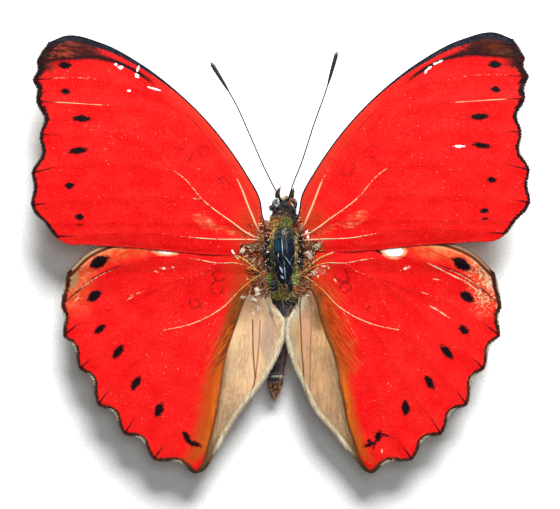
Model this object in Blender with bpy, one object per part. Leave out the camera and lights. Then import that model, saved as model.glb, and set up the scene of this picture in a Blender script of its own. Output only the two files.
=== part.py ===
"""Blood-red glider butterfly: a spread male, life size, resting on its own feet.

Everything is worked out in millimetres and turned into metres as each mesh is made.
+X runs to the butterfly's right as seen from above with the head up the page,
+Y towards the head and +Z up. The origin lies on the floor, midway across the spread.
"""
import math

import bmesh
import bpy
import numpy as np
from mathutils import Vector
from mathutils.geometry import delaunay_2d_cdt

MM = 0.001

# Driving sizes, in millimetres
GAP = 0.3                 # clearance between a limb and what it grows from
BODY_X = 0.42             # the body's midline lies a little right of the spread's middle
MEMBRANE = 0.5            # thickness of a wing's membrane
RIDGE_HEIGHT = 0.14       # how far a vein stands above and below the membrane
RIDGE_HALF_WIDTH = 0.42
FORE_LEVEL = 6.25         # height of the forewing at its root
HIND_LEVEL = 5.10         # height of the hindwing at its root
HIND_LIFT = 0.4           # its front part is raised by this much towards the forewing,
HIND_LIFT_FROM = -7.0     # starting here along Y
HIND_LIFT_TO = -0.5       # and complete here
ROOT_X = 2.5              # distance from the middle at which the wings leave the body
RISE = 0.055              # upward slope of a wing at its root
RISE_FADE = 0.0011        # how fast that slope eases off along the span
LEFT_FORE_DROP = 0.4      # the left forewing is set this much further back
LEFT_HIND_LEAN = 0.022    # the left hindwing leans this much towards the body

# Thorax, from front to back: y, half width, bottom, top
THORAX = [(4.2, 1.70, 2.3, 6.4), (3.0, 2.25, 1.5, 7.1), (1.2, 2.50, 1.15, 7.5),
          (-0.8, 2.50, 1.1, 7.4), (-2.8, 2.30, 1.2, 6.8), (-4.6, 2.00, 1.5, 6.0),
          (-6.4, 1.40, 2.2, 5.1)]
PROTHORAX = [(5.4, 1.20, 2.9, 5.6), (5.0, 1.45, 2.7, 5.9), (4.5, 1.55, 2.5, 6.1)]

# Abdomen, from front to back: y, midline x, half width, bottom, top
ABDOMEN = [(-6.7, 0.45, 1.10, 2.45, 4.55), (-8.3, 0.42, 1.32, 1.95, 4.40),
           (-10.5, 0.25, 1.32, 1.65, 4.15), (-13.5, -0.2, 1.15, 1.40, 3.65),
           (-16.5, -0.6, 1.00, 1.25, 3.20), (-18.4, -0.88, 0.82, 1.20, 2.75),
           (-19.4, -0.98, 0.40, 1.45, 2.25)]
ABDOMEN_SEGMENTS = 8
SEGMENT_FLARE = 0.1       # share by which each segment widens towards its rear edge
SEGMENT_STEP = 0.12       # length over which one segment tucks under the one before it

HEAD_CENTRE = (BODY_X + 0.1, 6.7, 4.5)
HEAD_RADII = (1.25, 1.0, 1.25)
HEAD_FLAT = 0.62          # half width of the head between the eyes
HEAD_REAR = 0.94          # distance from the head's centre back to its flat for the collar
EYE_RADII = (0.95, 0.88, 1.0)
EYE_CREST = 0.16          # angle of the small ring round an eye's outermost point
PALP_TIP = {"left": (-0.17, 8.85, 4.75), "right": (1.69, 8.5, 4.7)}

# Antennae: places along each, from inside the head to the tip
ANTENNA = {
    "left": [(0.2, 6.8, 5.0), (-0.1, 7.4, 5.6), (-0.9, 8.9, 6.1), (-2.2, 11.5, 6.4),
             (-4.1, 15.8, 6.7), (-5.8, 19.6, 6.8), (-9.3, 25.5, 6.9)],
    "right": [(0.8, 6.8, 5.0), (1.05, 7.4, 5.6), (1.5, 8.9, 6.1), (2.7, 12.0, 6.4),
              (4.4, 17.2, 6.7), (6.0, 21.7, 6.8), (7.5, 26.9, 6.9)],
}
ANTENNA_RADIUS = 0.25
CLUB_RADIUS = 0.37
CLUB_LENGTH = 4.6
CLUB_END_RADIUS = 0.18
PALP_RADII = (0.26, 0.27, 0.22, 0.08)
PALP_STATIONS = (0.0, 0.4, 0.75, 1.0)
TONGUE_RADIUS = 0.21
TONGUE_TURN = (100, -190)          # degrees through which the rolled tongue curls
TONGUE_REACH = (0.48, 0.38)        # radius of the roll at its start and its end
TONGUE_DROP = (0.45, -1.72)        # the roll's middle, ahead of and below the head's centre

# Forewing, right side, in plan: x, y
FORE_COSTA = [(2.3, 5.3), (2.7, 7.6), (4.5, 11.0), (6.4, 13.9), (9.4, 17.7), (14.2, 22.4),
              (18.6, 25.7), (23.9, 28.5), (28.6, 29.45), (30.8, 28.6)]
FORE_MARGIN = [(30.8, 28.6), (32.4, 26.1), (32.9, 23.6), (32.4, 20.7), (31.9, 16.0),
               (33.0, 11.2), (33.1, 6.9), (31.1, 4.4), (29.9, 2.7)]
FORE_BAYS = [(0.0, 0.5), (0.47, 0.45), (0.4, 0.5), (0.9, 0.5), (0.85, 0.45), (0.4, 0.45),
             (-0.2, 0.4), (0.0, 0.5)]
FORE_TRAIL = [(29.9, 2.7), (29.1, 2.1), (25.2, 1.65), (18.6, 1.2), (12.7, 0.6), (9.0, 0.35),
              (5.2, 0.4), (3.1, 0.7)]
FORE_ROOT = [(0.9, 0.6), (0.9, 3.2), (1.9, 4.3)]
FORE_VEINS = {
    "subcosta": [(3.0, 3.9), (3.2, 6.0), (4.9, 9.9), (7.6, 14.1), (11.5, 18.9)],
    "radius": [(2.9, 3.3), (4.0, 5.9), (5.8, 10.3), (8.4, 14.2), (13.9, 20.5), (17.2, 23.3),
               (22.0, 26.0), (24.6, 26.6), (28.0, 26.5), (32.4, 26.1)],
    "radius_1": [(8.4, 14.2), (12.4, 18.9), (16.0, 22.5), (21.5, 26.9)],
    "radius_3": [(22.0, 26.0), (25.2, 27.3), (30.0, 28.3)],
    "media_1": [(13.9, 20.5), (18.6, 22.4), (22.6, 23.3), (26.6, 23.8), (32.9, 23.6)],
    "media_2": [(12.9, 18.4), (17.2, 19.6), (22.6, 20.1), (32.4, 20.7)],
    "media_3": [(14.3, 11.5), (16.2, 13.6), (18.4, 15.5), (20.6, 16.3), (25.9, 16.5),
                (31.9, 16.0)],
    "cubitus": [(3.6, 2.7), (6.6, 4.7), (10.4, 7.6), (12.7, 10.3), (14.3, 11.5)],
    "cubitus_1": [(14.3, 11.5), (17.1, 12.0), (22.6, 12.6), (27.9, 12.4), (33.0, 11.2)],
    "cubitus_2": [(10.4, 7.6), (13.9, 8.0), (21.2, 7.8), (27.9, 7.5), (33.1, 6.9)],
    "cell_end": [(14.3, 11.5), (12.7, 12.9), (12.2, 15.5), (12.9, 18.4), (13.9, 20.5)],
    "anal": [(3.2, 1.9), (9.2, 2.1), (13.9, 2.9), (18.6, 3.3), (23.9, 3.1), (29.9, 2.7)],
}

# Hindwing, right side, in plan
HIND_COSTA = [(2.9, 1.0), (4.8, 1.3), (7.2, 1.6), (13.2, 2.2), (18.6, 2.1), (22.8, 1.45),
              (25.9, 0.0), (28.4, -2.4)]
HIND_MARGIN = [(28.4, -2.4), (29.4, -6.9), (29.2, -10.9), (27.1, -15.3), (24.8, -20.1),
               (21.4, -24.0), (17.5, -27.4), (12.0, -29.35)]
HIND_BAYS = [(0.0, 0.5), (0.45, 0.4), (0.8, 0.4), (1.05, 0.36), (1.1, 0.42), (1.15, 0.42),
             (0.95, 0.55)]
HIND_ANAL = {
    "right": [(12.0, -29.35), (11.2, -29.0), (10.5, -28.2), (9.0, -26.1), (7.2, -23.7), (5.0, -21.2),
              (3.0, -17.2), (1.25, -12.9), (0.78, -10.4), (1.05, -8.6), (2.4, -6.1)],
    "left": [(12.0, -29.35), (11.05, -29.05), (10.3, -28.3), (9.5, -26.9), (8.7, -25.3), (6.5, -21.6),
             (3.6, -17.9), (1.75, -15.2), (0.4, -12.5), (-0.2, -10.4), (-0.2, -8.6), (1.75, -6.2)],
}
HIND_ROOT = [(0.9, -5.0), (0.9, -1.4), (1.7, 0.2)]

# The crease that divides the hindwing's coloured field from its inner fold
CREASE = [(3.5, -3.6), (4.7, -5.7), (5.9, -8.8), (7.0, -11.9), (8.0, -17.2), (9.0, -22.4),
          (10.35, -26.8), (12.0, -29.35)]
HIND_VEINS = {
    "subcosta": [(3.2, -2.4), (4.7, -0.9), (7.2, 0.3), (13.2, 1.2), (19.0, 0.8), (23.0, -0.8),
                 (28.4, -2.4)],
    "radius": [(3.2, -2.4), (5.9, -1.25), (8.6, -1.2), (11.0, -0.8), (14.5, -0.35),
               (17.9, -0.6), (21.0, -1.6), (24.0, -2.8), (26.2, -4.2), (29.4, -6.9)],
    "media_1": [(8.6, -1.2), (10.3, -2.4), (12.6, -3.05), (15.9, -4.2), (21.2, -6.0),
                (25.2, -8.1), (29.2, -10.9)],
    "media_2": [(12.6, -3.05), (17.2, -6.5), (21.2, -10.1), (25.2, -13.7), (27.1, -15.3)],
    "media_3": [(16.0, -10.2), (17.8, -11.6), (20.7, -14.9), (23.1, -17.9), (24.8, -20.1)],
    "cubitus": [(3.5, -3.1), (5.2, -4.5), (8.1, -7.3), (12.0, -9.3), (16.0, -10.2)],
    "cubitus_1": [(12.0, -9.3), (13.8, -11.6), (16.3, -15.9), (18.3, -19.1), (21.4, -24.0)],
    "cubitus_2": [(8.1, -7.3), (9.4, -9.9), (10.5, -12.5), (12.2, -16.8), (14.3, -21.5),
                  (17.5, -27.4)],
    "cell_end": [(12.6, -3.05), (13.6, -6.0), (16.0, -10.2)],
    "anal_2": CREASE,
    "anal_3": [(3.0, -4.6), (2.8, -9.2), (2.9, -13.6), (3.6, -17.2)],
}
VEIN_SPACING = 1.8        # between points along a vein
GRID_SPACING = 3.4        # between points on the open membrane

# Legs, right side: hip, knee, ankle and toe, measured from the body's midline
LEGS = {
    "foreleg": [(0.55, 4.95, 2.9), (0.95, 5.5, 1.6), (0.85, 6.5, 2.3), (0.8, 7.0, 2.5)],
    "midleg": [(1.1, 1.4, 2.0), (5.0, 3.2, 3.5), (8.6, 5.2, 0.5), (11.4, 6.8, 0.17)],
    "hindleg": [(1.0, -2.4, 2.0), (4.5, -4.8, 3.3), (7.4, -8.4, 0.5), (9.0, -11.2, 0.17)],
}
LEG_RADII = {"foreleg": (0.32, 0.3, 0.27, 0.25), "midleg": (0.42, 0.36, 0.29, 0.26),
             "hindleg": (0.42, 0.36, 0.29, 0.26)}
LEG_PIECE = 1.6           # spacing of the rings along a leg
FLOOR = 0.0

# Facets
BODY_SIDES = 20
ABDOMEN_SIDES = 16
HEAD_SIDES = 20
PALP_SIDES = 8
LIMB_SIDES = 6
BAY_PIECES = 7            # straight pieces from one lobe of a wing's margin to the next

# Colours, linear, with roughness
COLOURS = {
    "wing_red": ((0.93, 0.012, 0.014), 0.62), "head": ((0.045, 0.028, 0.026), 0.7),
    "eye": ((0.06, 0.042, 0.045), 0.18), "antenna": ((0.012, 0.009, 0.008), 0.4),
    "palp": ((0.16, 0.055, 0.03), 0.7), "proboscis": ((0.09, 0.05, 0.025), 0.35),
    "thorax": ((0.19, 0.085, 0.03), 0.75), "abdomen": ((0.06, 0.045, 0.035), 0.6),
    "leg": ((0.12, 0.07, 0.04), 0.5),
}


def clear_scene():
    """Remove whatever the file already holds."""
    for obj in list(bpy.data.objects):
        bpy.data.objects.remove(obj, do_unlink=True)


def make_materials():
    """One Principled material for each finish."""
    materials = {}
    for name, (colour, roughness) in COLOURS.items():
        material = bpy.data.materials.new(name)
        material.use_nodes = True
        shader = material.node_tree.nodes["Principled BSDF"]
        shader.inputs["Base Color"].default_value = (*colour, 1.0)
        shader.inputs["Roughness"].default_value = roughness
        materials[name] = material
    return materials


def read_curve(knots, rows, at):
    """Cubic curve through one row per knot, read at the parameters `at`."""
    knots = np.asarray(knots, float)
    rows = np.asarray(rows, float)
    at = np.asarray(at, float)
    slopes = np.gradient(rows, knots, axis=0)
    i = np.clip(np.searchsorted(knots, at, side="right") - 1, 0, len(knots) - 2)
    span = (knots[i + 1] - knots[i])[:, None]
    t = (at[:, None] - knots[i][:, None]) / span
    ahead = t * t * (3 - 2 * t)
    leave = t * (1 - t) ** 2 * span
    arrive = t * t * (t - 1) * span
    return (1 - ahead) * rows[i] + ahead * rows[i + 1] + leave * slopes[i] + arrive * slopes[i + 1]


def smooth_path(points, spacing):
    """Points about `spacing` apart on a smooth curve through, and at, the given ones."""
    points = np.asarray(points, float)
    chords = np.linalg.norm(np.diff(points, axis=0), axis=1)
    knots = np.concatenate([[0.0], np.cumsum(chords)])
    at = [[0.0]]
    for start, end in zip(knots[:-1], knots[1:]):
        at.append(np.linspace(start, end, max(1, int(round((end - start) / spacing))) + 1)[1:])
    return read_curve(knots, points, np.concatenate(at))


def scalloped_edge(lobes, bays, count):
    """An edge that swells at each lobe and sinks by a squared sine into each bay."""
    run = []
    for (start, end), (depth, deepest) in zip(zip(lobes[:-1], lobes[1:]), bays):
        start = np.array(start)
        end = np.array(end)
        chord = end - start
        inward = np.array([chord[1], -chord[0]]) / np.linalg.norm(chord)
        t = np.arange(count) / count
        sink = depth * np.sin(math.pi * t ** (math.log(0.5) / math.log(deepest))) ** 2
        run.append(start + t[:, None] * chord + sink[:, None] * inward)
    run.append(np.array([lobes[-1]]))
    return np.vstack(run)


def add_object(name, vertices, faces, material, smooth=True):
    """A mesh object from points in millimetres, with its faces pointing out."""
    mesh = bpy.data.meshes.new(name)
    mesh.from_pydata((np.asarray(vertices) * MM).tolist(), [], [list(map(int, f)) for f in faces])
    bm = bmesh.new()
    bm.from_mesh(mesh)
    bmesh.ops.triangulate(bm, faces=bm.faces[:])
    bmesh.ops.recalc_face_normals(bm, faces=bm.faces[:])
    bm.to_mesh(mesh)
    bm.free()
    mesh.materials.append(material)
    if smooth:
        mesh.shade_smooth()
        mesh.set_sharp_from_angle(angle=math.radians(40))
    obj = bpy.data.objects.new(name, mesh)
    bpy.context.scene.collection.objects.link(obj)
    return obj


def ring_faces(rings, sides):
    """Quads between successive closed rings, and a fan point at each end."""
    first = rings * sides
    last = first + 1
    faces = []
    for r in range(rings - 1):
        for s in range(sides):
            a = r * sides + s
            b = r * sides + (s + 1) % sides
            faces.append((a, b, b + sides, a + sides))
    for s in range(sides):
        after = (s + 1) % sides
        faces.append((first, after, s))
        faces.append((last, (rings - 1) * sides + s, (rings - 1) * sides + after))
    return faces


def loft(rings):
    """Vertices and faces of a closed body through rings of points, each end a low fan."""
    rings = np.asarray(rings)
    count, sides, _ = rings.shape
    vertices = np.vstack([rings.reshape(-1, 3), rings[0].mean(axis=0), rings[-1].mean(axis=0)])
    return vertices, ring_faces(count, sides)


def body_rings(table, stations, sides, grow=0.0, squareness=2.3):
    """Rounded cross sections along Y from rows of y, midline x, half width, bottom and top.

    `stations` are the places along Y, and `grow` swells the body by that much all round.
    """
    table = np.asarray(table, float)
    y = table[:, 0].copy()
    y[0] += grow
    y[-1] -= grow
    rows = np.column_stack([y, table[:, 1], table[:, 2] + grow, table[:, 3] - grow,
                            table[:, 4] + grow])
    at = y[0] + (np.asarray(stations) - table[0, 0]) * (y[-1] - y[0]) / (table[-1, 0] - table[0, 0])
    rows = read_curve(-rows[:, 0], rows, -at)
    angle = np.linspace(0.0, 2 * math.pi, sides, endpoint=False)
    cosine = np.sign(np.cos(angle)) * np.abs(np.cos(angle)) ** (2 / squareness)
    sine = np.sign(np.sin(angle)) * np.abs(np.sin(angle)) ** (2 / squareness)
    middle = (rows[:, 3] + rows[:, 4]) / 2
    tall = (rows[:, 4] - rows[:, 3]) / 2
    x = rows[:, 1, None] + rows[:, 2, None] * cosine
    z = middle[:, None] + tall[:, None] * sine
    return np.stack([x, np.repeat(rows[:, 0, None], sides, axis=1), z], axis=2)


def midline_rings(table, count, grow=0.0):
    """Evenly spaced sections of a body that lies on the midline."""
    rows = [(y, BODY_X, half, low, high) for y, half, low, high in table]
    return body_rings(rows, np.linspace(table[0][0], table[-1][0], count), BODY_SIDES, grow)


def tube_rings(path, radii, sides, floor=None):
    """Rings square to a path; any point under the floor is laid on it."""
    path = np.asarray(path, float)
    along = np.gradient(path, axis=0)
    along /= np.linalg.norm(along, axis=1)[:, None]
    side = np.cross(along, (0.0, 0.0, 1.0))
    side /= np.linalg.norm(side, axis=1)[:, None]
    up = np.cross(side, along)
    angle = (np.arange(sides) + 0.5) * 2 * math.pi / sides
    radii = np.asarray(radii, float)[:, None, None]
    rings = path[:, None, :] + radii * (np.cos(angle)[None, :, None] * side[:, None, :]
                                        + np.sin(angle)[None, :, None] * up[:, None, :])
    if floor is not None:
        rings[:, :, 2] = np.maximum(rings[:, :, 2], floor)
    return rings


def cutter(name, vertices, faces, material):
    """A hidden body that trims what runs into it."""
    obj = add_object(name, vertices, faces, material, smooth=False)
    obj.hide_render = True
    obj.display_type = "WIRE"
    return obj


def trim(obj, tool):
    """Take a cutter's space out of a piece."""
    cut = obj.modifiers.new("trim_" + tool.name, "BOOLEAN")
    cut.operation = "DIFFERENCE"
    cut.object = tool
    cut.solver = "EXACT"


def ellipsoid_rings(radii, first, last, count, sign=1):
    """Rings of an ellipsoid about X, at polar angles from `first` to `last`."""
    polar = np.linspace(first, last, count)[:, None]
    angle = np.linspace(0.0, 2 * math.pi, HEAD_SIDES, endpoint=False)
    rings = np.stack([sign * np.cos(polar) * np.ones(HEAD_SIDES), np.sin(polar) * np.cos(angle),
                      np.sin(polar) * np.sin(angle)], axis=2)
    return rings * np.array(radii)


def make_head(materials):
    """Narrow head with a flat each side for an eye and a flat behind for the collar."""
    side_angle = math.acos(HEAD_FLAT / HEAD_RADII[0])
    rings = ellipsoid_rings(HEAD_RADII, side_angle, math.pi - side_angle, 7)
    rings[:, :, 1] = np.maximum(rings[:, :, 1], -HEAD_REAR)
    vertices, faces = loft(rings + np.array(HEAD_CENTRE))
    add_object("head", vertices, faces, materials["head"])
    grown = np.array(HEAD_RADII) + GAP
    rings = ellipsoid_rings(grown, math.pi / 14, math.pi * 13 / 14, 13)
    vertices, faces = loft(rings + np.array(HEAD_CENTRE))
    return cutter("head_clearance", vertices, faces, materials["head"])


def make_eye(side, sign, materials):
    """Bulging half ellipsoid with its flat towards the head."""
    rings = ellipsoid_rings(EYE_RADII, EYE_CREST, math.pi / 2, 6, sign)
    x, y, z = HEAD_CENTRE
    vertices, faces = loft(rings + np.array([x + sign * (HEAD_FLAT + GAP), y, z]))
    add_object("eye_" + side, vertices, faces, materials["eye"])


def make_antenna(side, head_cutter, materials):
    """Slender shaft that swells into a long club and ends bluntly."""
    path = smooth_path(ANTENNA[side], 1.3)
    steps = np.linalg.norm(np.diff(path, axis=0), axis=1)
    to_tip = np.concatenate([np.cumsum(steps[::-1])[::-1], [0.0]])
    club = np.clip(1 - to_tip / CLUB_LENGTH, 0.0, 1.0)
    swell = np.sin(math.pi * 0.62 * club ** 0.75)
    radii = ANTENNA_RADIUS + (CLUB_RADIUS - ANTENNA_RADIUS) * swell
    radii[-1] = CLUB_END_RADIUS
    vertices, faces = loft(tube_rings(path, radii, LIMB_SIDES))
    trim(add_object("antenna_" + side, vertices, faces, materials["antenna"]), head_cutter)


def make_palp(side, sign, head_cutter, materials):
    """Short furred feeler that rises in front of the face to a point."""
    x, y, z = HEAD_CENTRE
    path = [(x + sign * 0.4, y + 0.2, z - 0.95), (x + sign * 0.7, y + 0.8, z - 1.05),
            (x + sign * 1.0, y + 1.3, z - 0.6), PALP_TIP[side]]
    path = smooth_path(path, 0.4)
    radii = np.interp(np.linspace(0, 1, len(path)), PALP_STATIONS, PALP_RADII)
    vertices, faces = loft(tube_rings(path, radii, PALP_SIDES))
    trim(add_object("palp_" + side, vertices, faces, materials["palp"]), head_cutter)


def make_proboscis(head_cutter, materials):
    """Rolled tongue under the head: one open turn of a fine tube."""
    x, y, z = HEAD_CENTRE
    turn = np.radians(np.linspace(*TONGUE_TURN, 15))
    reach = np.linspace(*TONGUE_REACH, len(turn))
    path = np.column_stack([np.full(len(turn), x), y + TONGUE_DROP[0] + reach * np.cos(turn),
                            z + TONGUE_DROP[1] + reach * np.sin(turn)])
    along = np.gradient(path, axis=0)
    along /= np.linalg.norm(along, axis=1)[:, None]
    across = np.array([1.0, 0.0, 0.0])
    out = np.cross(along, across)
    angle = (np.arange(LIMB_SIDES) + 0.5) * 2 * math.pi / LIMB_SIDES
    ring = (np.cos(angle)[None, :, None] * across
            + np.sin(angle)[None, :, None] * out[:, None, :])
    vertices, faces = loft(path[:, None, :] + TONGUE_RADIUS * ring)
    trim(add_object("proboscis", vertices, faces, materials["proboscis"]), head_cutter)


def make_thorax(materials):
    """Deep thorax, the collar before it, and the space each keeps clear of its limbs."""
    cutters = []
    for name, table, count in (("thorax", THORAX, 12), ("prothorax", PROTHORAX, 4)):
        vertices, faces = loft(midline_rings(table, count))
        add_object(name, vertices, faces, materials["thorax"])
        vertices, faces = loft(midline_rings(table, count, grow=GAP))
        cutters.append(cutter(name + "_clearance", vertices, faces, materials["thorax"]))
    return cutters


def make_abdomen(materials):
    """Slim abdomen whose segments each widen to the rear and overlap the next."""
    front, rear = ABDOMEN[0][0], ABDOMEN[-1][0]
    edges = np.linspace(front, rear, ABDOMEN_SEGMENTS + 1)
    stations = [front]
    flare = [1 - SEGMENT_FLARE / 2]
    for start, end in zip(edges[:-1], edges[1:]):
        stations += [start - SEGMENT_STEP, (start + end) / 2, end]
        flare += [1 - SEGMENT_FLARE / 2, 1.0, 1 + SEGMENT_FLARE / 2]
    rings = body_rings(ABDOMEN, stations, ABDOMEN_SIDES, squareness=2.1)
    centre = rings.mean(axis=1, keepdims=True)
    vertices, faces = loft(centre + (rings - centre) * np.array(flare)[:, None, None])
    add_object("abdomen", vertices, faces, materials["abdomen"])


def make_leg(kind, side, sign, cutters, materials):
    """Leg through hip, knee, ankle and toe, its toe flat on the floor."""
    joints = np.array(LEGS[kind]) * np.array([sign, 1, 1]) + np.array([BODY_X, 0, 0])
    radii = LEG_RADII[kind]
    path = []
    widths = []
    for start, end, near, far in zip(joints[:-1], joints[1:], radii[:-1], radii[1:]):
        pieces = max(2, int(np.linalg.norm(end - start) / LEG_PIECE))
        share = (np.arange(pieces) + 0.5) / pieces
        path.append(start + share[:, None] * (end - start))
        widths.append(near + share * (far - near))
    path = np.vstack([joints[:1], *path, joints[-1:]])
    widths = np.concatenate([radii[:1], *widths, radii[-1:]])
    vertices, faces = loft(tube_rings(path, widths, LIMB_SIDES, floor=FLOOR))
    leg = add_object(kind + "_" + side, vertices, faces, materials["leg"])
    for tool in cutters:
        trim(leg, tool)


def fore_height(x, y):
    """Middle surface of the forewing: it rises along the span and is gently bowed."""
    span = x - ROOT_X
    bow = np.sin(math.pi * np.clip((y + 0.5) / 29.5, 0, 1)) * np.clip(span / 12, 0, 1)
    return FORE_LEVEL + RISE * span - RISE_FADE * span ** 2 + 0.4 * bow


def hind_height(x, y):
    """Middle surface of the hindwing: raised in front, with a trough along its crease and a fold."""
    span = x - ROOT_X
    front = np.clip((y - HIND_LIFT_FROM) / (HIND_LIFT_TO - HIND_LIFT_FROM), 0, 1)
    front = HIND_LIFT * front ** 2 * (3 - 2 * front)
    rear = np.clip((-y - 5) / 24, 0, 1)
    crease = read_curve([-p[1] for p in CREASE], [(p[0],) for p in CREASE],
                        np.clip(-y, -CREASE[0][1], -CREASE[-1][1]))[:, 0]
    inside = crease - x
    grown = np.clip((-y - 5) / 4, 0, 1)
    trough = 0.35 * np.exp(-((inside - 0.6) / 1.5) ** 2) * grown
    fold = 0.3 * np.exp(-((inside - 4.2) / 2.2) ** 2) * grown
    level = HIND_LEVEL + RISE * span - RISE_FADE * span ** 2
    return level + front - 0.3 * rear ** 2 - trough + fold


def left_fore(x, y):
    """Plan place of a right forewing point on the left side."""
    return -x, y - LEFT_FORE_DROP


def left_hind(x, y):
    """Plan place of a right hindwing point on the left side."""
    return -x - LEFT_HIND_LEAN * y, y


def distance_to(points, starts, ends):
    """Distance from each point to the nearest of the straight pieces."""
    run = ends - starts
    offset = points[:, None, :] - starts[None, :, :]
    t = np.clip((offset * run).sum(axis=2) / (run ** 2).sum(axis=1), 0, 1)
    return np.linalg.norm(offset - t[:, :, None] * run[None, :, :], axis=2).min(axis=1)


def sheet_plan(outline, crests):
    """Triangles that fill an outline, with an edge along every vein's crest.

    Points stand at both feet of each ridge, and on an even grid between the veins.
    """
    starts = np.vstack([c[:-1] for c in crests])
    ends = np.vstack([c[1:] for c in crests])
    feet = []
    for crest in crests:
        along = np.gradient(crest, axis=0)
        along /= np.linalg.norm(along, axis=1)[:, None]
        across = np.column_stack([-along[:, 1], along[:, 0]]) * RIDGE_HALF_WIDTH
        feet += [crest + across, crest - across]
    feet = np.vstack(feet)
    feet = feet[distance_to(feet, starts, ends) > 0.93 * RIDGE_HALF_WIDTH]
    feet = feet[inside_outline(feet, outline, 0.3)]
    low = outline.min(axis=0)
    high = outline.max(axis=0)
    grid_x, grid_y = np.meshgrid(np.arange(low[0], high[0], GRID_SPACING),
                                 np.arange(low[1], high[1], GRID_SPACING))
    grid = np.column_stack([grid_x.ravel(), grid_y.ravel()])
    grid[:, 0] += 0.5 * GRID_SPACING * (np.round((grid[:, 1] - low[1]) / GRID_SPACING) % 2)
    grid = grid[inside_outline(grid, outline, 0.4 * GRID_SPACING)]
    grid = grid[distance_to(grid, starts, ends) > RIDGE_HALF_WIDTH + 0.25 * GRID_SPACING]
    points = np.vstack([outline, *crests, feet, grid])
    edges = [(i, (i + 1) % len(outline)) for i in range(len(outline))]
    first = len(outline)
    for crest in crests:
        edges += [(first + i, first + i + 1) for i in range(len(crest) - 1)]
        first += len(crest)
    found = delaunay_2d_cdt([Vector(p) for p in points], edges, [], 1, 0.02)
    plan = np.array([tuple(p) for p in found[0]])
    ridge = np.clip(1 - distance_to(plan, starts, ends) / RIDGE_HALF_WIDTH, 0, 1)
    return plan, np.array(found[2]), np.where(ridge > 0.9, 1.0, np.where(ridge > 0.1, ridge, 0.0))


def inside_outline(points, outline, margin):
    """Which points lie inside an outline and further than `margin` from it."""
    ahead = np.roll(outline, -1, axis=0)
    edge = ahead - outline
    offset = points[:, None, :] - outline[None, :, :]
    rising = (outline[None, :, 1] > points[:, None, 1]) != (ahead[None, :, 1] > points[:, None, 1])
    run = edge[:, 0] / np.where(edge[:, 1] == 0, 1e-9, edge[:, 1])
    crossing = rising & (offset[:, :, 0] < offset[:, :, 1] * run)
    return (crossing.sum(axis=1) % 2 == 1) & (distance_to(points, outline, ahead) > margin)


def make_wing(name, outline, veins, height, place, material, tools):
    """A membrane split into the same triangles above and below, raised along its veins."""
    crests = [smooth_path(points, VEIN_SPACING) for points in veins.values()]
    plan, triangles, ridge = sheet_plan(outline, crests)
    middle = height(plan[:, 0], plan[:, 1])
    x, y = place(plan[:, 0], plan[:, 1])
    half = MEMBRANE / 2 + RIDGE_HEIGHT * ridge
    top = np.column_stack([x, y, middle + half])
    bottom = np.column_stack([x, y, middle - half])
    count = len(plan)
    sides = {}
    for a, b, c in triangles:
        for edge in ((a, b), (b, c), (c, a)):
            sides[tuple(sorted(edge))] = None if tuple(sorted(edge)) in sides else edge
    faces = [tuple(t) for t in triangles]
    faces += [(c + count, b + count, a + count) for a, b, c in triangles]
    for edge in sides.values():
        if edge is not None:
            a, b = edge
            faces += [(b, a, a + count), (b, a + count, b + count)]
    wing = add_object(name, np.vstack([top, bottom]), faces, material)
    for tool in tools:
        trim(wing, tool)


def same_place(x, y):
    """Right wings lie where they are drawn."""
    return x, y


def make_wings(thorax_cutter, materials):
    """Both forewings and both hindwings."""
    fore = np.vstack([smooth_path(FORE_COSTA, 2.6)[:-1], scalloped_edge(FORE_MARGIN, FORE_BAYS, BAY_PIECES),
                      smooth_path(FORE_TRAIL, 3.0)[1:], FORE_ROOT])
    for side, place in (("left", left_fore), ("right", same_place)):
        make_wing("forewing_" + side, fore, FORE_VEINS, fore_height, place,
                  materials["wing_red"], [thorax_cutter])
    for side, place in (("left", left_hind), ("right", same_place)):
        hind = np.vstack([smooth_path(HIND_COSTA, 2.6)[:-1],
                          scalloped_edge(HIND_MARGIN, HIND_BAYS, BAY_PIECES),
                          smooth_path(HIND_ANAL[side], 2.4)[1:], HIND_ROOT])
        make_wing("hindwing_" + side, hind, HIND_VEINS, hind_height, place,
                  materials["wing_red"], [thorax_cutter])


def main():
    clear_scene()
    materials = make_materials()
    thorax_cutter, prothorax_cutter = make_thorax(materials)
    make_abdomen(materials)
    head_cutter = make_head(materials)
    make_proboscis(head_cutter, materials)
    for side, sign in (("left", -1), ("right", 1)):
        make_eye(side, sign, materials)
        make_antenna(side, head_cutter, materials)
        make_palp(side, sign, head_cutter, materials)
        make_leg("foreleg", side, sign, [prothorax_cutter], materials)
        make_leg("midleg", side, sign, [thorax_cutter], materials)
        make_leg("hindleg", side, sign, [thorax_cutter], materials)
    make_wings(thorax_cutter, materials)


main()
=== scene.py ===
"""Blood-red glider, a spread male: every surface, hair and scale of the set butterfly.

Shapes are worked out in millimetres, and turned into metres where each mesh is made.
+X is the butterfly's right seen from above, +Y is towards the head and +Z is up.
"""
import math

import bpy
import numpy as np
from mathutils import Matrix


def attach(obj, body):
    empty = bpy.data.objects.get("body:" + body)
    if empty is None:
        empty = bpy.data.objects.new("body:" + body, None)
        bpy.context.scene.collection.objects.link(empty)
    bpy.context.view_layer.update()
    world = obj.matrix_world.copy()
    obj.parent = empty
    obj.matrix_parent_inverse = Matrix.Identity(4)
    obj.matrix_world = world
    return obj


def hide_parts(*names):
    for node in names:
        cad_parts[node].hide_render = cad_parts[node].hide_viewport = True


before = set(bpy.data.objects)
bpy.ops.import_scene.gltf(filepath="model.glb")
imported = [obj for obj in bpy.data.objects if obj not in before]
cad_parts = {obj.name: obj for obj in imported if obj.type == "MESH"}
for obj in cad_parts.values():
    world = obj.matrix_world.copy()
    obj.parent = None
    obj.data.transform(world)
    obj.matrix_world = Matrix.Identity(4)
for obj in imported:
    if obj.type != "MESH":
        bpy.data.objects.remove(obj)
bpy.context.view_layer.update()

MM = 0.001
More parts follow.
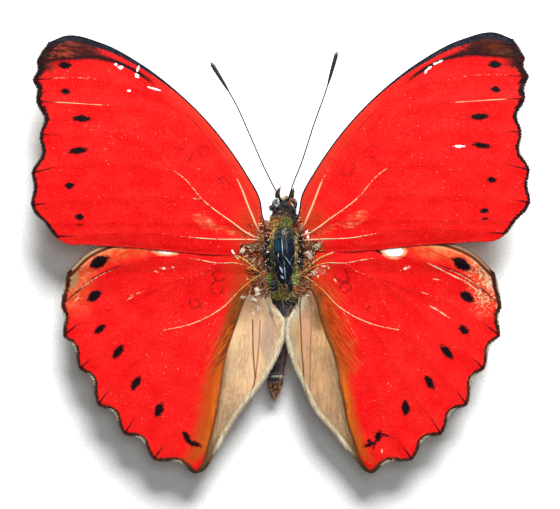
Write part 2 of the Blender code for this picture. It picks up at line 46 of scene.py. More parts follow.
SEED = 11
LIGHT_GAIN = 1.75                     # the light makes plain paper pure white
BARE_WHITE = (0.98, 0.96, 0.91, 1)    # places without scales, whiter than painted ones

# Places shared with the solids, in millimetres
BODY_X = 0.42
FORE_LEVEL = 6.25
HIND_LEVEL = 5.1
ROOT_X = 2.5
RISE = 0.055
RISE_FADE = 0.0011
LEFT_FORE_DROP = 0.4
LEFT_HIND_LEAN = 0.022
HIND_LIFT = 0.4
HIND_LIFT_FROM = -7
HIND_LIFT_TO = -0.5
FORE_BOW = 0.4            # how far the forewing's middle stands up
REAR_DROP = 0.3           # how far the hindwing sinks to its rear
TROUGH_DEPTH = 0.35       # of the trough beside the crease
FOLD_HEIGHT = 0.3         # of the inner fold behind it

# The thin membrane, in millimetres
OVERLAP_SHIFT = {"fore": -0.24, "hind": 0.24}    # brings a side's two wings nearer where they overlap
OVERLAP_REACH = 3.5
EDGE_DROOP = 0.15         # of the forewing's rear edge onto the hindwing
MEMBRANE_HALF = 0.06      # half the membrane's thickness
RIM_HALF = 0.03           # half the thickness at the wing's edge
PLEAT = 0.07              # how far the membrane rises towards each vein
PLEAT_WIDTH = 0.75
WRINKLE = 0.03
GRID_ALONG = 270
GRID_ACROSS = 150

# Forewing, right side, in plan
FORE_COSTA = [
    (0.9, 3.2), (1.9, 4.3), (2.3, 5.3), (2.7, 7.6), (4.5, 11), (6.4, 13.9), (9.4, 17.7), (14.2, 22.4),
    (18.6, 25.7), (23.9, 28.5), (28.6, 29.45), (30.8, 28.6)
]
FORE_MARGIN = [
    (30.8, 28.6), (32.4, 26.1), (32.9, 23.6), (32.4, 20.7), (31.9, 16), (33, 11.2), (33.1, 6.9),
    (31.1, 4.4), (29.9, 2.7)
]
FORE_BAYS = [
    (0, 0.5), (0.47, 0.45), (0.4, 0.5), (0.9, 0.5), (0.85, 0.45), (0.4, 0.45), (-0.2, 0.4), (0, 0.5)
]
FORE_TRAIL = [
    (0.9, 0.6), (3.1, 0.7), (5.2, 0.4), (9, 0.35), (12.7, 0.6), (18.6, 1.2), (25.2, 1.65), (29.1, 2.1),
    (29.9, 2.7)
]
FORE_VEINS = {
    "subcosta": [(3, 3.9), (3.2, 6), (4.9, 9.9), (7.6, 14.1), (11.5, 18.9)],
    "radius": [
        (2.2, 2.5), (2.9, 3.5), (4, 5.9), (5.8, 10.3), (8.4, 14.2), (13.9, 20.5), (17.2, 23.3),
        (22, 26), (24.6, 26.6), (28, 26.5), (32.4, 26.1)
    ],
    "radius_1": [(8.4, 14.2), (12.4, 18.9), (16, 22.5), (21.5, 26.9)],
    "radius_3": [(22, 26), (25.2, 27.3), (30, 28.3)],
    "media_1": [(13.9, 20.5), (18.6, 22.4), (22.6, 23.3), (26.6, 23.8), (32.9, 23.6)],
    "media_2": [(12.9, 18.4), (17.2, 19.6), (22.6, 20.1), (32.4, 20.7)],
    "media_3": [(14.3, 11.5), (16.2, 13.6), (18.4, 15.5), (20.6, 16.3), (25.9, 16.5), (31.9, 16)],
    "cubitus": [(2.2, 2.3), (4, 2.9), (6.6, 4.7), (10.4, 7.6), (12.7, 10.3), (14.3, 11.5)],
    "cubitus_1": [(14.3, 11.5), (17.1, 12), (22.6, 12.6), (27.9, 12.4), (33, 11.2)],
    "cubitus_2": [(10.4, 7.6), (13.9, 8), (21.2, 7.8), (27.9, 7.5), (33.1, 6.9)],
    "cell_end": [(14.3, 11.5), (12.7, 12.9), (12.2, 15.5), (12.9, 18.4), (13.9, 20.5)],
}
# The forewing's anal vein lies a little differently on the two sides
FORE_ANAL = {
    "right": [
        (2.1, 1.8), (3.5, 1.85), (5, 1.95), (9.2, 2.12), (13.9, 2.9), (18.6, 3.3), (23.9, 3.1),
        (29.9, 2.7)
    ],
    "left": [
        (2.1, 2.1), (3, 2.27), (5, 2.32), (9.2, 2.4), (13.9, 2.8), (16.3, 3.1), (19.8, 3.2),
        (24.2, 3), (29.9, 2.7)
    ],
}

# Hindwing, right side, in plan
HIND_COSTA = [
    (0.9, -1.4), (1.7, 0.2), (2.9, 1), (4.8, 1.3), (7.2, 1.6), (13.2, 2.2), (18.6, 2.1), (22.8, 1.45),
    (25.9, 0), (28.4, -2.4)
]
HIND_MARGIN = [
    (28.4, -2.4), (29.4, -6.9), (29.2, -10.9), (27.1, -15.3), (24.8, -20.1), (21.4, -24), (17.5, -27.4),
    (12, -29.35)
]
HIND_BAYS = [(0, 0.5), (0.45, 0.4), (0.8, 0.4), (1.05, 0.36), (1.1, 0.42), (1.15, 0.42), (0.95, 0.55)]
HIND_ANAL = {
    "right": [
        (0.9, -5), (2.4, -6.1), (1.05, -8.6), (0.78, -10.4), (1.25, -12.9), (3, -17.2), (5, -21.2),
        (7.2, -23.7), (9, -26.1), (10.5, -28.2), (11.2, -29), (12, -29.35)
    ],
    "left": [
        (0.9, -5), (1.75, -6.2), (-0.2, -8.6), (-0.2, -10.4), (0.4, -12.5), (1.75, -15.2), (3.6, -17.9),
        (6.5, -21.6), (8.7, -25.3), (9.5, -26.9), (10.3, -28.3), (11.05, -29.05), (12, -29.35)
    ],
}
CREASE = [
    (3.5, -3.6), (4.7, -5.7), (5.9, -8.8), (7, -11.9), (8, -17.2), (9, -22.4), (10.35, -26.8),
    (12, -29.35)
]
# Where the inner fold's colour meets the red
FOLD_LINE = {
    "right": [
        (3.5, -3.6), (4.6, -5.9), (5.3, -8.6), (6, -10.75), (6.97, -13.15), (7.6, -15.4), (7.93, -17.5),
        (8.42, -19.7), (8.82, -22.2), (9.8, -25.2), (10.55, -27.3), (12, -29.35)
    ],
    "left": [
        (3.5, -3.6), (4.7, -5.7), (5.9, -8.8), (7.05, -11.9), (7.75, -14.5), (8.3, -17.2), (8.7, -19.5),
        (9.32, -22.7), (10.27, -25.9), (10.9, -27.7), (12, -29.35)
    ],
}
HIND_VEINS = {
    "subcosta": [
        (2.2, -3), (3.2, -2.2), (4.7, -0.9), (7.2, 0.3), (13.2, 1.2), (19, 0.8), (23, -0.8),
        (28.4, -2.4)
    ],
    "radius": [
        (2.2, -3), (3.4, -2.2), (5.9, -1.25), (8.6, -1.2), (11, -0.8), (14.5, -0.35), (17.9, -0.6),
        (21, -1.6), (24, -2.8), (26.2, -4.2), (29.4, -6.9)
    ],
    "media_1": [
        (8.6, -1.2), (10.3, -2.4), (12.6, -3.05), (15.9, -4.2), (21.2, -6), (25.2, -8.1), (29.2, -10.9)
    ],
    "media_2": [(12.6, -3.05), (17.2, -6.5), (21.2, -10.1), (25.2, -13.7), (27.1, -15.3)],
    "media_3": [(16, -10.2), (17.8, -11.6), (20.7, -14.9), (23.1, -17.9), (24.8, -20.1)],
    "cubitus": [(2.2, -2.7), (3.5, -3.2), (5.2, -4.5), (8.1, -7.3), (12, -9.3), (16, -10.2)],
    "cubitus_1": [(12, -9.3), (13.8, -11.6), (16.3, -15.9), (18.3, -19.1), (21.4, -24)],
    "cubitus_2": [(8.1, -7.3), (9.4, -9.9), (10.5, -12.5), (12.2, -16.8), (14.3, -21.5), (17.5, -27.4)],
    "cell_end": [(12.6, -3.05), (13.6, -6), (16, -10.2)],
}

# How each vein looks: half width at its root and end, and where it is rubbed to cream,
# as (share of its length, amount) pairs
FORE_LOOK = {
    "subcosta": (0.07, 0.04, [(0, 0.3), (1, 0.1)]),
    "radius": (0.13, 0.08, [(0, 1), (0.17, 1), (0.25, 0.3), (0.5, 0)]),
    "radius_1": (0.05, 0.04, [(0, 0), (1, 0)]),
    "radius_3": (0.07, 0.05, [(0, 0), (1, 0)]),
    "media_1": (0.06, 0.06, [(0, 0.1), (0.55, 0.4), (0.66, 0.75), (0.86, 0.75), (0.9, 0)]),
    "media_2": (0.06, 0.065, [(0, 0.1), (0.45, 0.2), (0.58, 1), (0.89, 1), (0.92, 0)]),
    "media_3": (0.07, 0.06, [(0, 0.5), (0.2, 0.4), (0.5, 0.2), (0.9, 0.5), (0.97, 0)]),
    "cubitus": (0.12, 0.09, [(0, 1), (0.5, 0.8), (1, 0.7)]),
    "cubitus_1": (0.07, 0.06, [(0, 0.6), (0.2, 0.3), (0.6, 0.1), (0.9, 0.3), (0.97, 0)]),
    "cubitus_2": (0.08, 0.06, [(0, 0.6), (0.25, 0.4), (0.5, 0.1), (1, 0)]),
    "cell_end": (0.06, 0.06, [(0, 0.5), (0.3, 0.1), (1, 0)]),
    "anal": (0.1, 0.06, [(0, 0.9), (0.3, 0.9), (0.42, 0.5), (0.6, 0.1), (1, 0)]),
}
HIND_LOOK = {
    "subcosta": (0.14, 0.06, [(0, 0.95), (0.2, 0.95), (0.28, 0.2), (0.5, 0), (1, 0)]),
    "radius": (0.1, 0.07, [(0, 0.8), (0.3, 0.8), (0.45, 0.1), (0.65, 0.3), (0.76, 0.8), (0.97, 0.8), (1, 0)]),
    "media_1": (0.08, 0.06, [(0, 0.6), (0.2, 0.5), (0.35, 0.1), (0.5, 0.8), (0.6, 0.1), (1, 0)]),
    "media_2": (0.06, 0.06, [(0, 0.3), (0.5, 0.1), (1, 0)]),
    "media_3": (0.06, 0.06, [(0, 0.4), (0.5, 0.1), (1, 0)]),
    "cubitus": (0.085, 0.08, [(0, 1), (0.5, 0.9), (1, 0.8)]),
    "cubitus_1": (0.07, 0.06, [(0, 0.4), (0.3, 0.1), (1, 0)]),
    "cubitus_2": (0.08, 0.06, [(0, 0.6), (0.25, 0.5), (0.4, 0), (1, 0)]),
    "cell_end": (0.06, 0.06, [(0, 0.4), (1, 0.5)]),
    "anal_2": (0.05, 0.04, [(0, 0.3), (1, 0)]),
    "fold": (0.06, 0.04, [(0, 0.2), (1, 0)]),
}

# Black spots in right-wing plan: x, y, half length, half width, turn in degrees
FORE_SPOTS = {
    "right": [
        (28.45, 25.2, 0.9, 0.48, 0), (28.57, 21.85, 0.62, 0.38, -8), (26.43, 18.27, 1.2, 0.44, 3),
        (26.67, 14.4, 1.15, 0.37, -8), (28.03, 9.87, 0.62, 0.4, -8), (27.1, 5.73, 0.6, 0.34, 0),
        (27.1, 4.67, 0.3, 0.07, 0)
    ],
    "left": [
        (28.7, 25.47, 0.9, 0.48, 4), (28.63, 22, 0.62, 0.4, 6), (26.5, 18.4, 1.2, 0.45, 2),
        (26.9, 14.13, 1.2, 0.44, -7), (28.1, 9.47, 0.62, 0.4, -10), (26.77, 5.33, 0.6, 0.42, 0),
        (26.77, 4.27, 0.24, 0.08, 0)
    ],
}
HIND_SPOTS = {
    "right": [
        (24.1, -1.35, 1.3, 0.75, -32), (23.6, -1, 0.9, 0.3, -20), (24.8, -5.7, 1.05, 0.62, -35),
        (24.43, -10.13, 0.82, 0.46, -40), (22.17, -13.13, 1.2, 0.5, -50), (19.83, -17.13, 1, 0.5, -58),
        (16.67, -20.53, 0.95, 0.55, -85), (12.97, -24.4, 0.92, 0.42, 68), (11.85, -25.4, 0.7, 0.27, 25),
        (11.85, -25, 0.28, 0.26, 0), (12.5, -25.4, 0.4, 0.16, 80), (13.9, -24.2, 0.7, 0.11, -14)
    ],
    "left": [
        (24.25, -1.07, 1.3, 0.78, -28), (23.8, -0.7, 0.9, 0.3, -20), (25, -5.6, 1.08, 0.62, -36),
        (24.32, -10, 0.82, 0.46, -38), (21.99, -13.07, 1.1, 0.5, -52), (19.68, -17.2, 1, 0.5, -58),
        (16.69, -20.8, 1, 0.56, -66), (13.04, -24.53, 0.95, 0.4, 60), (12.13, -25.33, 0.85, 0.3, 18),
        (12.5, -25.3, 0.4, 0.16, 80)
    ],
}

# Places where scales are lost, in right-wing plan: x, y, half length, half width, turn
FORE_FLECKS = {
    "right": [
        (19.35, 24.35, 0.42, 0.12, 60), (19.75, 24.75, 0.3, 0.13, 35), (20.6, 25.35, 0.3, 0.14, 20),
        (21.2, 25.6, 0.35, 0.12, 30), (23.6, 14.3, 0.7, 0.14, 0), (3.45, 2.95, 0.3, 0.1, 60),
        (3.65, 2.3, 0.22, 0.12, 75)
    ],
    "left": [
        (21.9, 25.6, 0.17, 0.15, 0), (21.3, 25.2, 0.36, 0.22, 0), (19.1, 24.1, 0.42, 0.24, 55),
        (19, 25, 0.42, 0.12, -70), (16.9, 22.4, 0.75, 0.1, 16), (20.2, 22.1, 0.25, 0.1, 0),
        (6.35, 0.65, 0.3, 0.12, 55)
    ],
}
HIND_FLECKS = {
    "right": [
        (15.1, 0.35, 1.4, 0.85, 0), (16.6, -1.95, 0.5, 0.15, 20), (13.5, -26.4, 0.1, 0.28, 0),
        (5.85, -1.62, 0.4, 0.13, 5), (6.4, -1.87, 0.14, 0.13, 0), (4.3, -2.4, 0.36, 0.13, 30),
        (4.93, -2.9, 0.15, 0.2, 0), (4.8, -1.95, 0.2, 0.06, 40), (7.3, -3.55, 0.11, 0.3, 30)
    ],
    "left": [
        (15.1, 0.42, 1.4, 0.5, 0), (15.6, -1.9, 0.45, 0.14, 10), (6.1, -0.1, 0.75, 0.13, 55),
        (14.4, -1.75, 0.2, 0.1, 20), (16.7, -2.3, 0.3, 0.07, 25)
    ],
}
# Lines of the inner fold in right-wing plan: a dark thin vein, and a pinkish seam beside it
FOLD_VEIN = {
    "right": [
        (3, -4.6), (2.63, -6.3), (2.7, -10.1), (2.77, -12.1), (2.97, -14.8), (3.23, -17.5),
        (3.85, -19.3)
    ],
    "left": [(3.95, -8.6), (3.97, -12.1), (3.9, -14.8), (3.79, -16.4), (4.17, -18.1), (4.65, -19.2)],
}
FOLD_SEAM = {
    "right": [(3.6, -4.8), (4, -6.1), (4.03, -10.1), (3.97, -12.8), (3.9, -16.8), (3.97, -18.9)],
    "left": [(2.9, -5.5), (2.93, -7.5), (3.07, -10.8), (3.41, -14.1), (3.73, -16.5)],
}

# Where the dark lines of the veins and folds run in from the margin, in right-wing plan:
# x and y at the margin, direction outwards in degrees, length, half width
FORE_DASHES = [
    (32.6, 26.05, -5, 4.5, 0.22), (32.3, 25.1, 0, 2.6, 0.14), (32.9, 23.6, -2, 3, 0.2),
    (32.5, 21.9, 0, 2.6, 0.12), (32.4, 20.7, 3, 2.8, 0.2), (32, 18.4, 0, 1.5, 0.13),
    (32.1, 16.2, -5, 2.5, 0.18), (32.3, 13.9, -3, 1.6, 0.13), (33, 11.2, -13, 3, 0.2),
    (33, 9.3, -5, 1.3, 0.14), (33.1, 6.9, -7, 2.6, 0.2), (32, 5.2, 0, 1.2, 0.12),
    (29.9, 2.7, -6, 2.4, 0.18)
]
HIND_DASHES = [
    (29.2, -10.9, -40, 3, 0.2), (27.1, -15.3, -43, 2.6, 0.19), (24.8, -20.1, -54, 2.6, 0.19),
    (21.4, -24, -56, 2.8, 0.18), (17.5, -27.4, -54, 2.8, 0.18), (29.3, -9, -30, 1.4, 0.12),
    (28.2, -13.4, -42, 1.4, 0.12), (26, -17.9, -50, 1.4, 0.12), (23.2, -22.1, -52, 1.5, 0.12),
    (19.5, -26, -55, 1.5, 0.12), (15, -28.6, -70, 1.4, 0.12)
]
# Faint loops in the cells: x, y, half length, half width, turn
FORE_LOOPS = {
    "right": [(9, 11.3, 1.1, 0.62, 35), (12.2, 13.7, 0.9, 0.85, 0), (4.7, 4.6, 0.5, 0.4, 0)],
    "left": [(12.63, 13.6, 0.93, 0.93, 0), (10.1, 14.1, 0.95, 0.7, 20), (7.6, 10.2, 0.7, 0.5, 30)],
}
HIND_LOOPS = [(8.2, -2.85, 0.88, 0.85, 0), (8.65, -4.45, 0.86, 0.8, 20), (11.6, -6.6, 0.75, 0.6, 40)]
# Dark strokes beside the hindwing's veins, partly the veins' dark edges and partly painted shadow of their
# ridges, and a painted shadow beside its bare patch
HIND_SHADOW_STROKES = {
    "right": [
        (23.2, -2.35, 2.3, 0.11, -24), (26.4, -4.35, 2.3, 0.12, -38), (13.1, 0.25, 0.75, 0.17, -24)
    ],
    "left": [(23.2, -2.35, 2.3, 0.11, -24), (26.4, -4.35, 2.3, 0.12, -38)],
}
# Pale scratches of the hindwings
HIND_LASHES = {
    "right": [
        (21, -1.9, 1, 0.07, -26), (23.2, -3, 1.3, 0.07, -26), (25.6, -4.4, 1.1, 0.06, -36),
        (20.6, -7.3, 0.45, 0.07, -26), (21.7, -8, 0.5, 0.07, -34), (20.8, -3.4, 0.3, 0.06, -10)
    ],
    "left": [(27.3, -6, 0.22, 0.06, -40), (20.2, -5.9, 0.25, 0.05, -30)],
}


def paint(red, green, blue):
    """Surface colour that the light shows as a screen's red, green and blue, each 0 to 255."""
    share = np.array([red, green, blue]) / 255
    linear = np.where(share <= 0.04045, share / 12.92, ((share + 0.055) / 1.055) ** 2.4)
    return (*(linear / LIGHT_GAIN).tolist(), 1)


class Wire:
    """A value on its way through a material: arithmetic on it adds Math nodes."""

    def __init__(self, finish, socket):
        self.finish = finish
        self.socket = socket

    def math(self, operation, *values):
        return self.finish.node("ShaderNodeMath", {"operation": operation}, dict(enumerate(values)))

    def __add__(self, other):
        return self.math("ADD", self, other)

    __radd__ = __add__

    def __sub__(self, other):
        return self.math("SUBTRACT", self, other)

    def __rsub__(self, other):
        return self.math("SUBTRACT", other, self)

    def __mul__(self, other):
        return self.math("MULTIPLY", self, other)

    def __truediv__(self, other):
        return self.math("DIVIDE", self, other)

    def size(self):
        return self.math("ABSOLUTE", self)

    def least(self, other):
        return self.math("MINIMUM", self, other)

    def most(self, other):
        return self.math("MAXIMUM", self, other)

    def rise(self, low, high):
        """Smooth step: 0 at `low`, 1 at `high`; the two may be given in falling order."""
        sockets = {0: self, 1: low, 2: high, 3: 0, 4: 1}
        return self.finish.node("ShaderNodeMapRange", {"interpolation_type": "SMOOTHSTEP"}, sockets)


class Finish:
    """One surface finish: a Principled shader and the nodes that feed it."""

    def __init__(self, name, roughness, specular=0.5, coat=0, sheen=0):
        self.material = bpy.data.materials.new(name)
        self.material.use_nodes = True
        self.tree = self.material.node_tree
        self.shader = self.tree.nodes["Principled BSDF"]
        self.sockets(Roughness=roughness, Specular_IOR_Level=specular, Coat_Weight=coat, Sheen_Weight=sheen)

    def feed(self, socket, value):
        if isinstance(value, Wire):
            self.tree.links.new(value.socket, socket)
        else:
            socket.default_value = value

    def node(self, kind, settings=None, sockets=None, output=0):
        """Any node: its settings first, then the values or links of its sockets."""
        made = self.tree.nodes.new(kind)
        for key, value in (settings or {}).items():
            setattr(made, key, value)
        for key, value in (sockets or {}).items():
            self.feed(made.inputs[key], value)
        return Wire(self, made.outputs[output])

    def vector(self, operation, *values, output=0):
        """Vector Math on the given values."""
        return self.node("ShaderNodeVectorMath", {"operation": operation}, dict(enumerate(values)), output)

    def place(self, stretch=(1, 1, 1)):
        """Object coordinates in millimetres, stretched along each axis."""
        here = self.node("ShaderNodeTexCoord", output="Object")
        return self.vector("MULTIPLY", here, tuple(s / MM for s in stretch))

    def split(self, vector):
        """The three numbers of a vector."""
        parts = self.node("ShaderNodeSeparateXYZ", None, {0: vector})
        return [Wire(self, output) for output in parts.socket.node.outputs]

    def axes(self):
        """The three object coordinates, each in millimetres."""
        return self.split(self.place())

    def field(self, name):
        """A number kept on the piece's own points."""
        return self.node("ShaderNodeAttribute", {"attribute_name": name}, output="Fac")

    def fields(self, *names):
        """Several of those numbers."""
        return [self.field(name) for name in names]

    def noise(self, scale, detail=2, roughness=0.5, stretch=(1, 1, 1), at=None):
        """Soft noise of 0 to 1 with `scale` lumps to the millimetre."""
        sockets = {"Vector": at or self.place(stretch), "Scale": scale, "Detail": detail,
                   "Roughness": roughness}
        return self.node("ShaderNodeTexNoise", None, sockets, "Fac")

    def cells(self, scale, stretch=(1, 1, 1)):
        """Distance to the nearest of many scattered points."""
        sockets = {"Vector": self.place(stretch), "Scale": scale}
        return self.node("ShaderNodeTexVoronoi", None, sockets, "Distance")

    def plan(self):
        """Place in the right wing's plan, in millimetres, as a vector."""
        return self.node("ShaderNodeCombineXYZ", None, {0: self.field("span"), 1: self.field("reach")})

    def local(self, plan, x, y, turn, long=1, wide=1):
        """The plan seen from a turned and stretched mark at x, y."""
        sockets = {"Vector": plan, "Location": (x, y, 0), "Scale": (long, wide, 1),
                   "Rotation": (0, 0, math.radians(turn))}
        return self.node("ShaderNodeMapping", {"vector_type": "TEXTURE"}, sockets)

    def blots(self, plan, blots):
        """Signed distance, in millimetres, to the nearest of some turned, slightly pointed ovals."""
        nearest = None
        for x, y, long, wide, turn in blots:
            here = self.local(plan, x, y, turn, long, wide)
            gap = self.vector("LENGTH", here, output="Value")
            size = self.vector("ABSOLUTE", here)
            sides = self.vector("DOT_PRODUCT", size, (0.25, 0.25, 0), output="Value")
            gap = (gap * 0.78 + sides - 1) * min(long, wide)
            nearest = gap if nearest is None else nearest.least(gap)
        return nearest

    def wedges(self, plan, wedges):
        """Depth inside the nearest of some dashes that narrow inwards from the margin to a point."""
        deepest = None
        for x, y, turn, long, half in wedges:
            along, across, _ = self.split(self.local(plan, x, y, turn))
            depth = along * (half / long) + half - across.size()
            deepest = depth if deepest is None else deepest.most(depth)
        return deepest

    def strands(self, plan, turn, long, wide):
        """Noise of 0 to 1 drawn out one way over the plan, in strands `long` by `wide` millimetres."""
        return self.noise(1, at=self.local(plan, 0, 0, turn, long, wide))

    def mix(self, mask, under, over):
        """One colour laid over another where the mask is 1; three numbers are a painted colour."""
        under, over = [paint(*c) if isinstance(c, tuple) and len(c) == 3 else c for c in (under, over)]
        return self.node("ShaderNodeMix", {"data_type": "RGBA"}, {0: mask, 6: under, 7: over}, 2)

    def layers(self, under, rows):
        """Colours laid one after another, as (mask, colour) rows."""
        for mask, over in rows:
            under = self.mix(mask, under, over)
        return under

    def scaled(self, colour, share):
        """A colour made darker or lighter by a factor."""
        sockets = {0: colour, "Scale": share}
        return self.node("ShaderNodeVectorMath", {"operation": "SCALE"}, sockets)

    def colour(self, value):
        self.sockets(Base_Color=value)

    def bump(self, height, depth, strength=1):
        """Relief `depth` millimetres deep where the height is 1."""
        sockets = {"Height": height, "Distance": depth * MM, "Strength": strength}
        self.sockets(Normal=self.node("ShaderNodeBump", None, sockets))

    def sockets(self, **values):
        for name, value in values.items():
            self.feed(self.shader.inputs[name.replace("_", " ")], value)


def read_curve(knots, rows, at):
    """Cubic curve through one row per knot, read at the parameters `at`."""
    knots = np.asarray(knots, float)
    rows = np.asarray(rows, float)
    at = np.asarray(at, float)
    slopes = np.gradient(rows, knots, axis=0)
    i = np.clip(np.searchsorted(knots, at, side="right") - 1, 0, len(knots) - 2)
    span = (knots[i + 1] - knots[i])[:, None]
    t = (at[:, None] - knots[i][:, None]) / span
    ahead = t * t * (3 - 2 * t)
    leave = t * (1 - t) ** 2 * span
    arrive = t * t * (t - 1) * span
    return (1 - ahead) * rows[i] + ahead * rows[i + 1] + leave * slopes[i] + arrive * slopes[i + 1]


def travelled(path):
    """Distance along a polyline at each of its points."""
    return np.concatenate([[0], np.cumsum(np.linalg.norm(np.diff(path, axis=0), axis=1))])


def read_rows(at, knots, rows):
    """Rows read in straight lines between the knots."""
    return np.column_stack([np.interp(at, knots, column) for column in np.asarray(rows).T])


def smooth_path(points, spacing):
    """Points about `spacing` apart on a smooth curve through the given ones."""
    knots = travelled(points)
    count = max(2, int(round(knots[-1] / spacing)) + 1)
    return read_curve(knots, points, np.linspace(0, knots[-1], count))


def even_path(points, count):
    """`count` points at equal distances along a polyline."""
    steps = travelled(points)
    return read_rows(np.linspace(0, steps[-1], count), steps, points)


def scalloped_edge(lobes, bays, count):
    """An edge that swells at each lobe and sinks by a squared sine into each bay.

    Returns the points and, for each, how deep in its bay it lies, from 0 to 1.
    """
    run = []
    bay = []
    for (start, end), (depth, deepest) in zip(zip(lobes[:-1], lobes[1:]), bays):
        start = np.array(start)
        chord = np.array(end) - start
        inward = np.array([chord[1], -chord[0]]) / np.linalg.norm(chord)
        t = np.arange(count) / count
        hollow = np.sin(math.pi * t ** (math.log(0.5) / math.log(deepest))) ** 2
        run.append(start + t[:, None] * chord + depth * hollow[:, None] * inward)
        bay.append(hollow)
    run.append(np.array([lobes[-1]]))
    bay.append([0])
    return np.vstack(run), np.concatenate(bay)


def beside_path(points, path):
    """Distance of each point from a path, its side (left is positive) and its share along."""
    run = np.diff(path, axis=0)
    steps = np.linalg.norm(run, axis=1)
    before = travelled(path)
    offset = points[:, None, :] - path[None, :-1, :]
    t = np.clip((offset * run).sum(axis=2) / steps ** 2, 0, 1)
    gap = np.linalg.norm(offset - t[:, :, None] * run[None, :, :], axis=2)
    best = gap.argmin(axis=1)
    rows = np.arange(len(points))
    near = offset[rows, best]
    side = np.sign(run[best, 0] * near[:, 1] - run[best, 1] * near[:, 0])
    share = (before[best] + t[rows, best] * steps[best]) / before[-1]
    return gap[rows, best], side, share


def make_piece(name, vertices, faces, materials, fields=None, uv=None, slots=None, smooth=50,
               uv_name="UVMap"):
    """A mesh from points in millimetres and arrays of faces, with numbers kept on its points."""
    faces = [np.asarray(f, np.int32) for f in faces if len(f)]
    loops = np.concatenate([f.ravel() for f in faces])
    sizes = np.concatenate([np.full(len(f), f.shape[1]) for f in faces])
    mesh = bpy.data.meshes.new(name)
    mesh.vertices.add(len(vertices))
    mesh.vertices.foreach_set("co", (np.asarray(vertices, float) * MM).astype(np.float32).ravel())
    mesh.loops.add(len(loops))
    mesh.loops.foreach_set("vertex_index", loops)
    mesh.polygons.add(len(sizes))
    starts = np.concatenate([[0], np.cumsum(sizes)[:-1]]).astype(np.int32)
    mesh.polygons.foreach_set("loop_start", starts)
    if slots is not None:
        mesh.polygons.foreach_set("material_index", np.asarray(slots, np.int32))
    for material in materials:
        mesh.materials.append(material)
    mesh.update(calc_edges=True)
    for key, values in (fields or {}).items():
        layer = mesh.attributes.new(key, "FLOAT", "POINT")
        layer.data.foreach_set("value", np.asarray(values, np.float32))
    if uv is not None:
        layer = mesh.uv_layers.new(name=uv_name)
        layer.data.foreach_set("uv", np.asarray(uv, np.float32)[loops].ravel())
    mesh.shade_smooth()
    mesh.set_sharp_from_angle(angle=math.radians(smooth))
    obj = bpy.data.objects.new(name, mesh)
    bpy.context.scene.collection.objects.link(obj)
    return obj


def dress(obj, slot, *nodes):
    """The piece rides with the body and stands for the named solids; its slot is not used."""
    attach(obj, "root")
    if nodes:
        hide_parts(*nodes)


def grid_quads(rows, cols, first=0, wrap=False):
    """Quads over a grid of points, row by row; `wrap` joins the last column to the first."""
    index = first + np.arange(rows * cols).reshape(rows, cols)
    if wrap:
        index = np.column_stack([index, index[:, :1]])
    a, b = index[:-1, :-1].ravel(), index[1:, :-1].ravel()
    c, d = index[1:, 1:].ravel(), index[:-1, 1:].ravel()
    return np.column_stack([a, b, c, d])


def closed_tube(rings):
    """Points and faces of a tube through rings, each end closed by a fan."""
    count, sides, _ = rings.shape
    points = np.vstack([rings.reshape(-1, 3), rings[0].mean(axis=0), rings[-1].mean(axis=0)])
    s = np.arange(sides)
    after = (s + 1) % sides
    end = (count - 1) * sides
    start_fan = np.column_stack([np.full(sides, count * sides), s, after])
    end_fan = np.column_stack([np.full(sides, count * sides + 1), end + after, end + s])
    return points, grid_quads(count, sides, wrap=True), np.vstack([start_fan, end_fan])


def ring_field(values, sides):
    """A number for each ring of a closed tube, given to all its points and to the two ends."""
    return np.concatenate([np.repeat(values, sides), values[:1], values[-1:]])


def make_tube(name, rings, finish, slot, *nodes, fields=None):
    """A closed tube through rings, made a piece."""
    points, quads, triangles = closed_tube(rings)
    piece = make_piece(name, points, [quads, triangles], [finish], fields)
    dress(piece, slot, *nodes)


def join(parts):
    """Several (points, quads, triangles, fields, ...) joined into one set of arrays."""
    points, quads, triangles, fields = [], [], [], {}
    first = 0
    for part in parts:
        points.append(part[0])
        quads.append(part[1] + first)
        triangles.append(part[2] + first)
        for key, values in part[3].items():
            fields.setdefault(key, []).append(values)
        first += len(part[0])
    merged = {key: np.concatenate(values) for key, values in fields.items()}
    return np.vstack(points), np.vstack(quads), np.vstack(triangles), merged


def path_frame(path, up=(0, 0, 1)):
    """Unit vectors along a path, to its side and square to both."""
    along = np.gradient(path, axis=0)
    along /= np.linalg.norm(along, axis=1)[:, None]
    side = np.cross(along, up)
    side /= np.linalg.norm(side, axis=1)[:, None]
    return along, side, np.cross(side, along)


def tube_rings(path, wide, tall, sides, up=(0, 0, 1)):
    """Elliptic rings square to a path, `wide` to the side and `tall` upwards."""
    _, side, top = path_frame(path, up)
    angle = (np.arange(sides) + 0.5) * 2 * math.pi / sides
    wide = np.broadcast_to(wide, len(path))[:, None, None]
    tall = np.broadcast_to(tall, len(path))[:, None, None]
    return (path[:, None, :] + wide * np.cos(angle)[None, :, None] * side[:, None, :]
            + tall * np.sin(angle)[None, :, None] * top[:, None, :])


def unit(vectors):
    """Vectors scaled to length 1."""
    return vectors / np.maximum(np.linalg.norm(vectors, axis=1), 1e-9)[:, None]


def square_to(lean, wanted):
    """The part of `wanted` that is square to each direction, at length 1."""
    ahead = unit(lean)
    wanted = np.broadcast_to(np.asarray(wanted, float), ahead.shape)
    return unit(wanted - ahead * (wanted * ahead).sum(axis=1)[:, None])


UV_PATCH = 0.003          # size of a hair's patch on the skin's unwrap


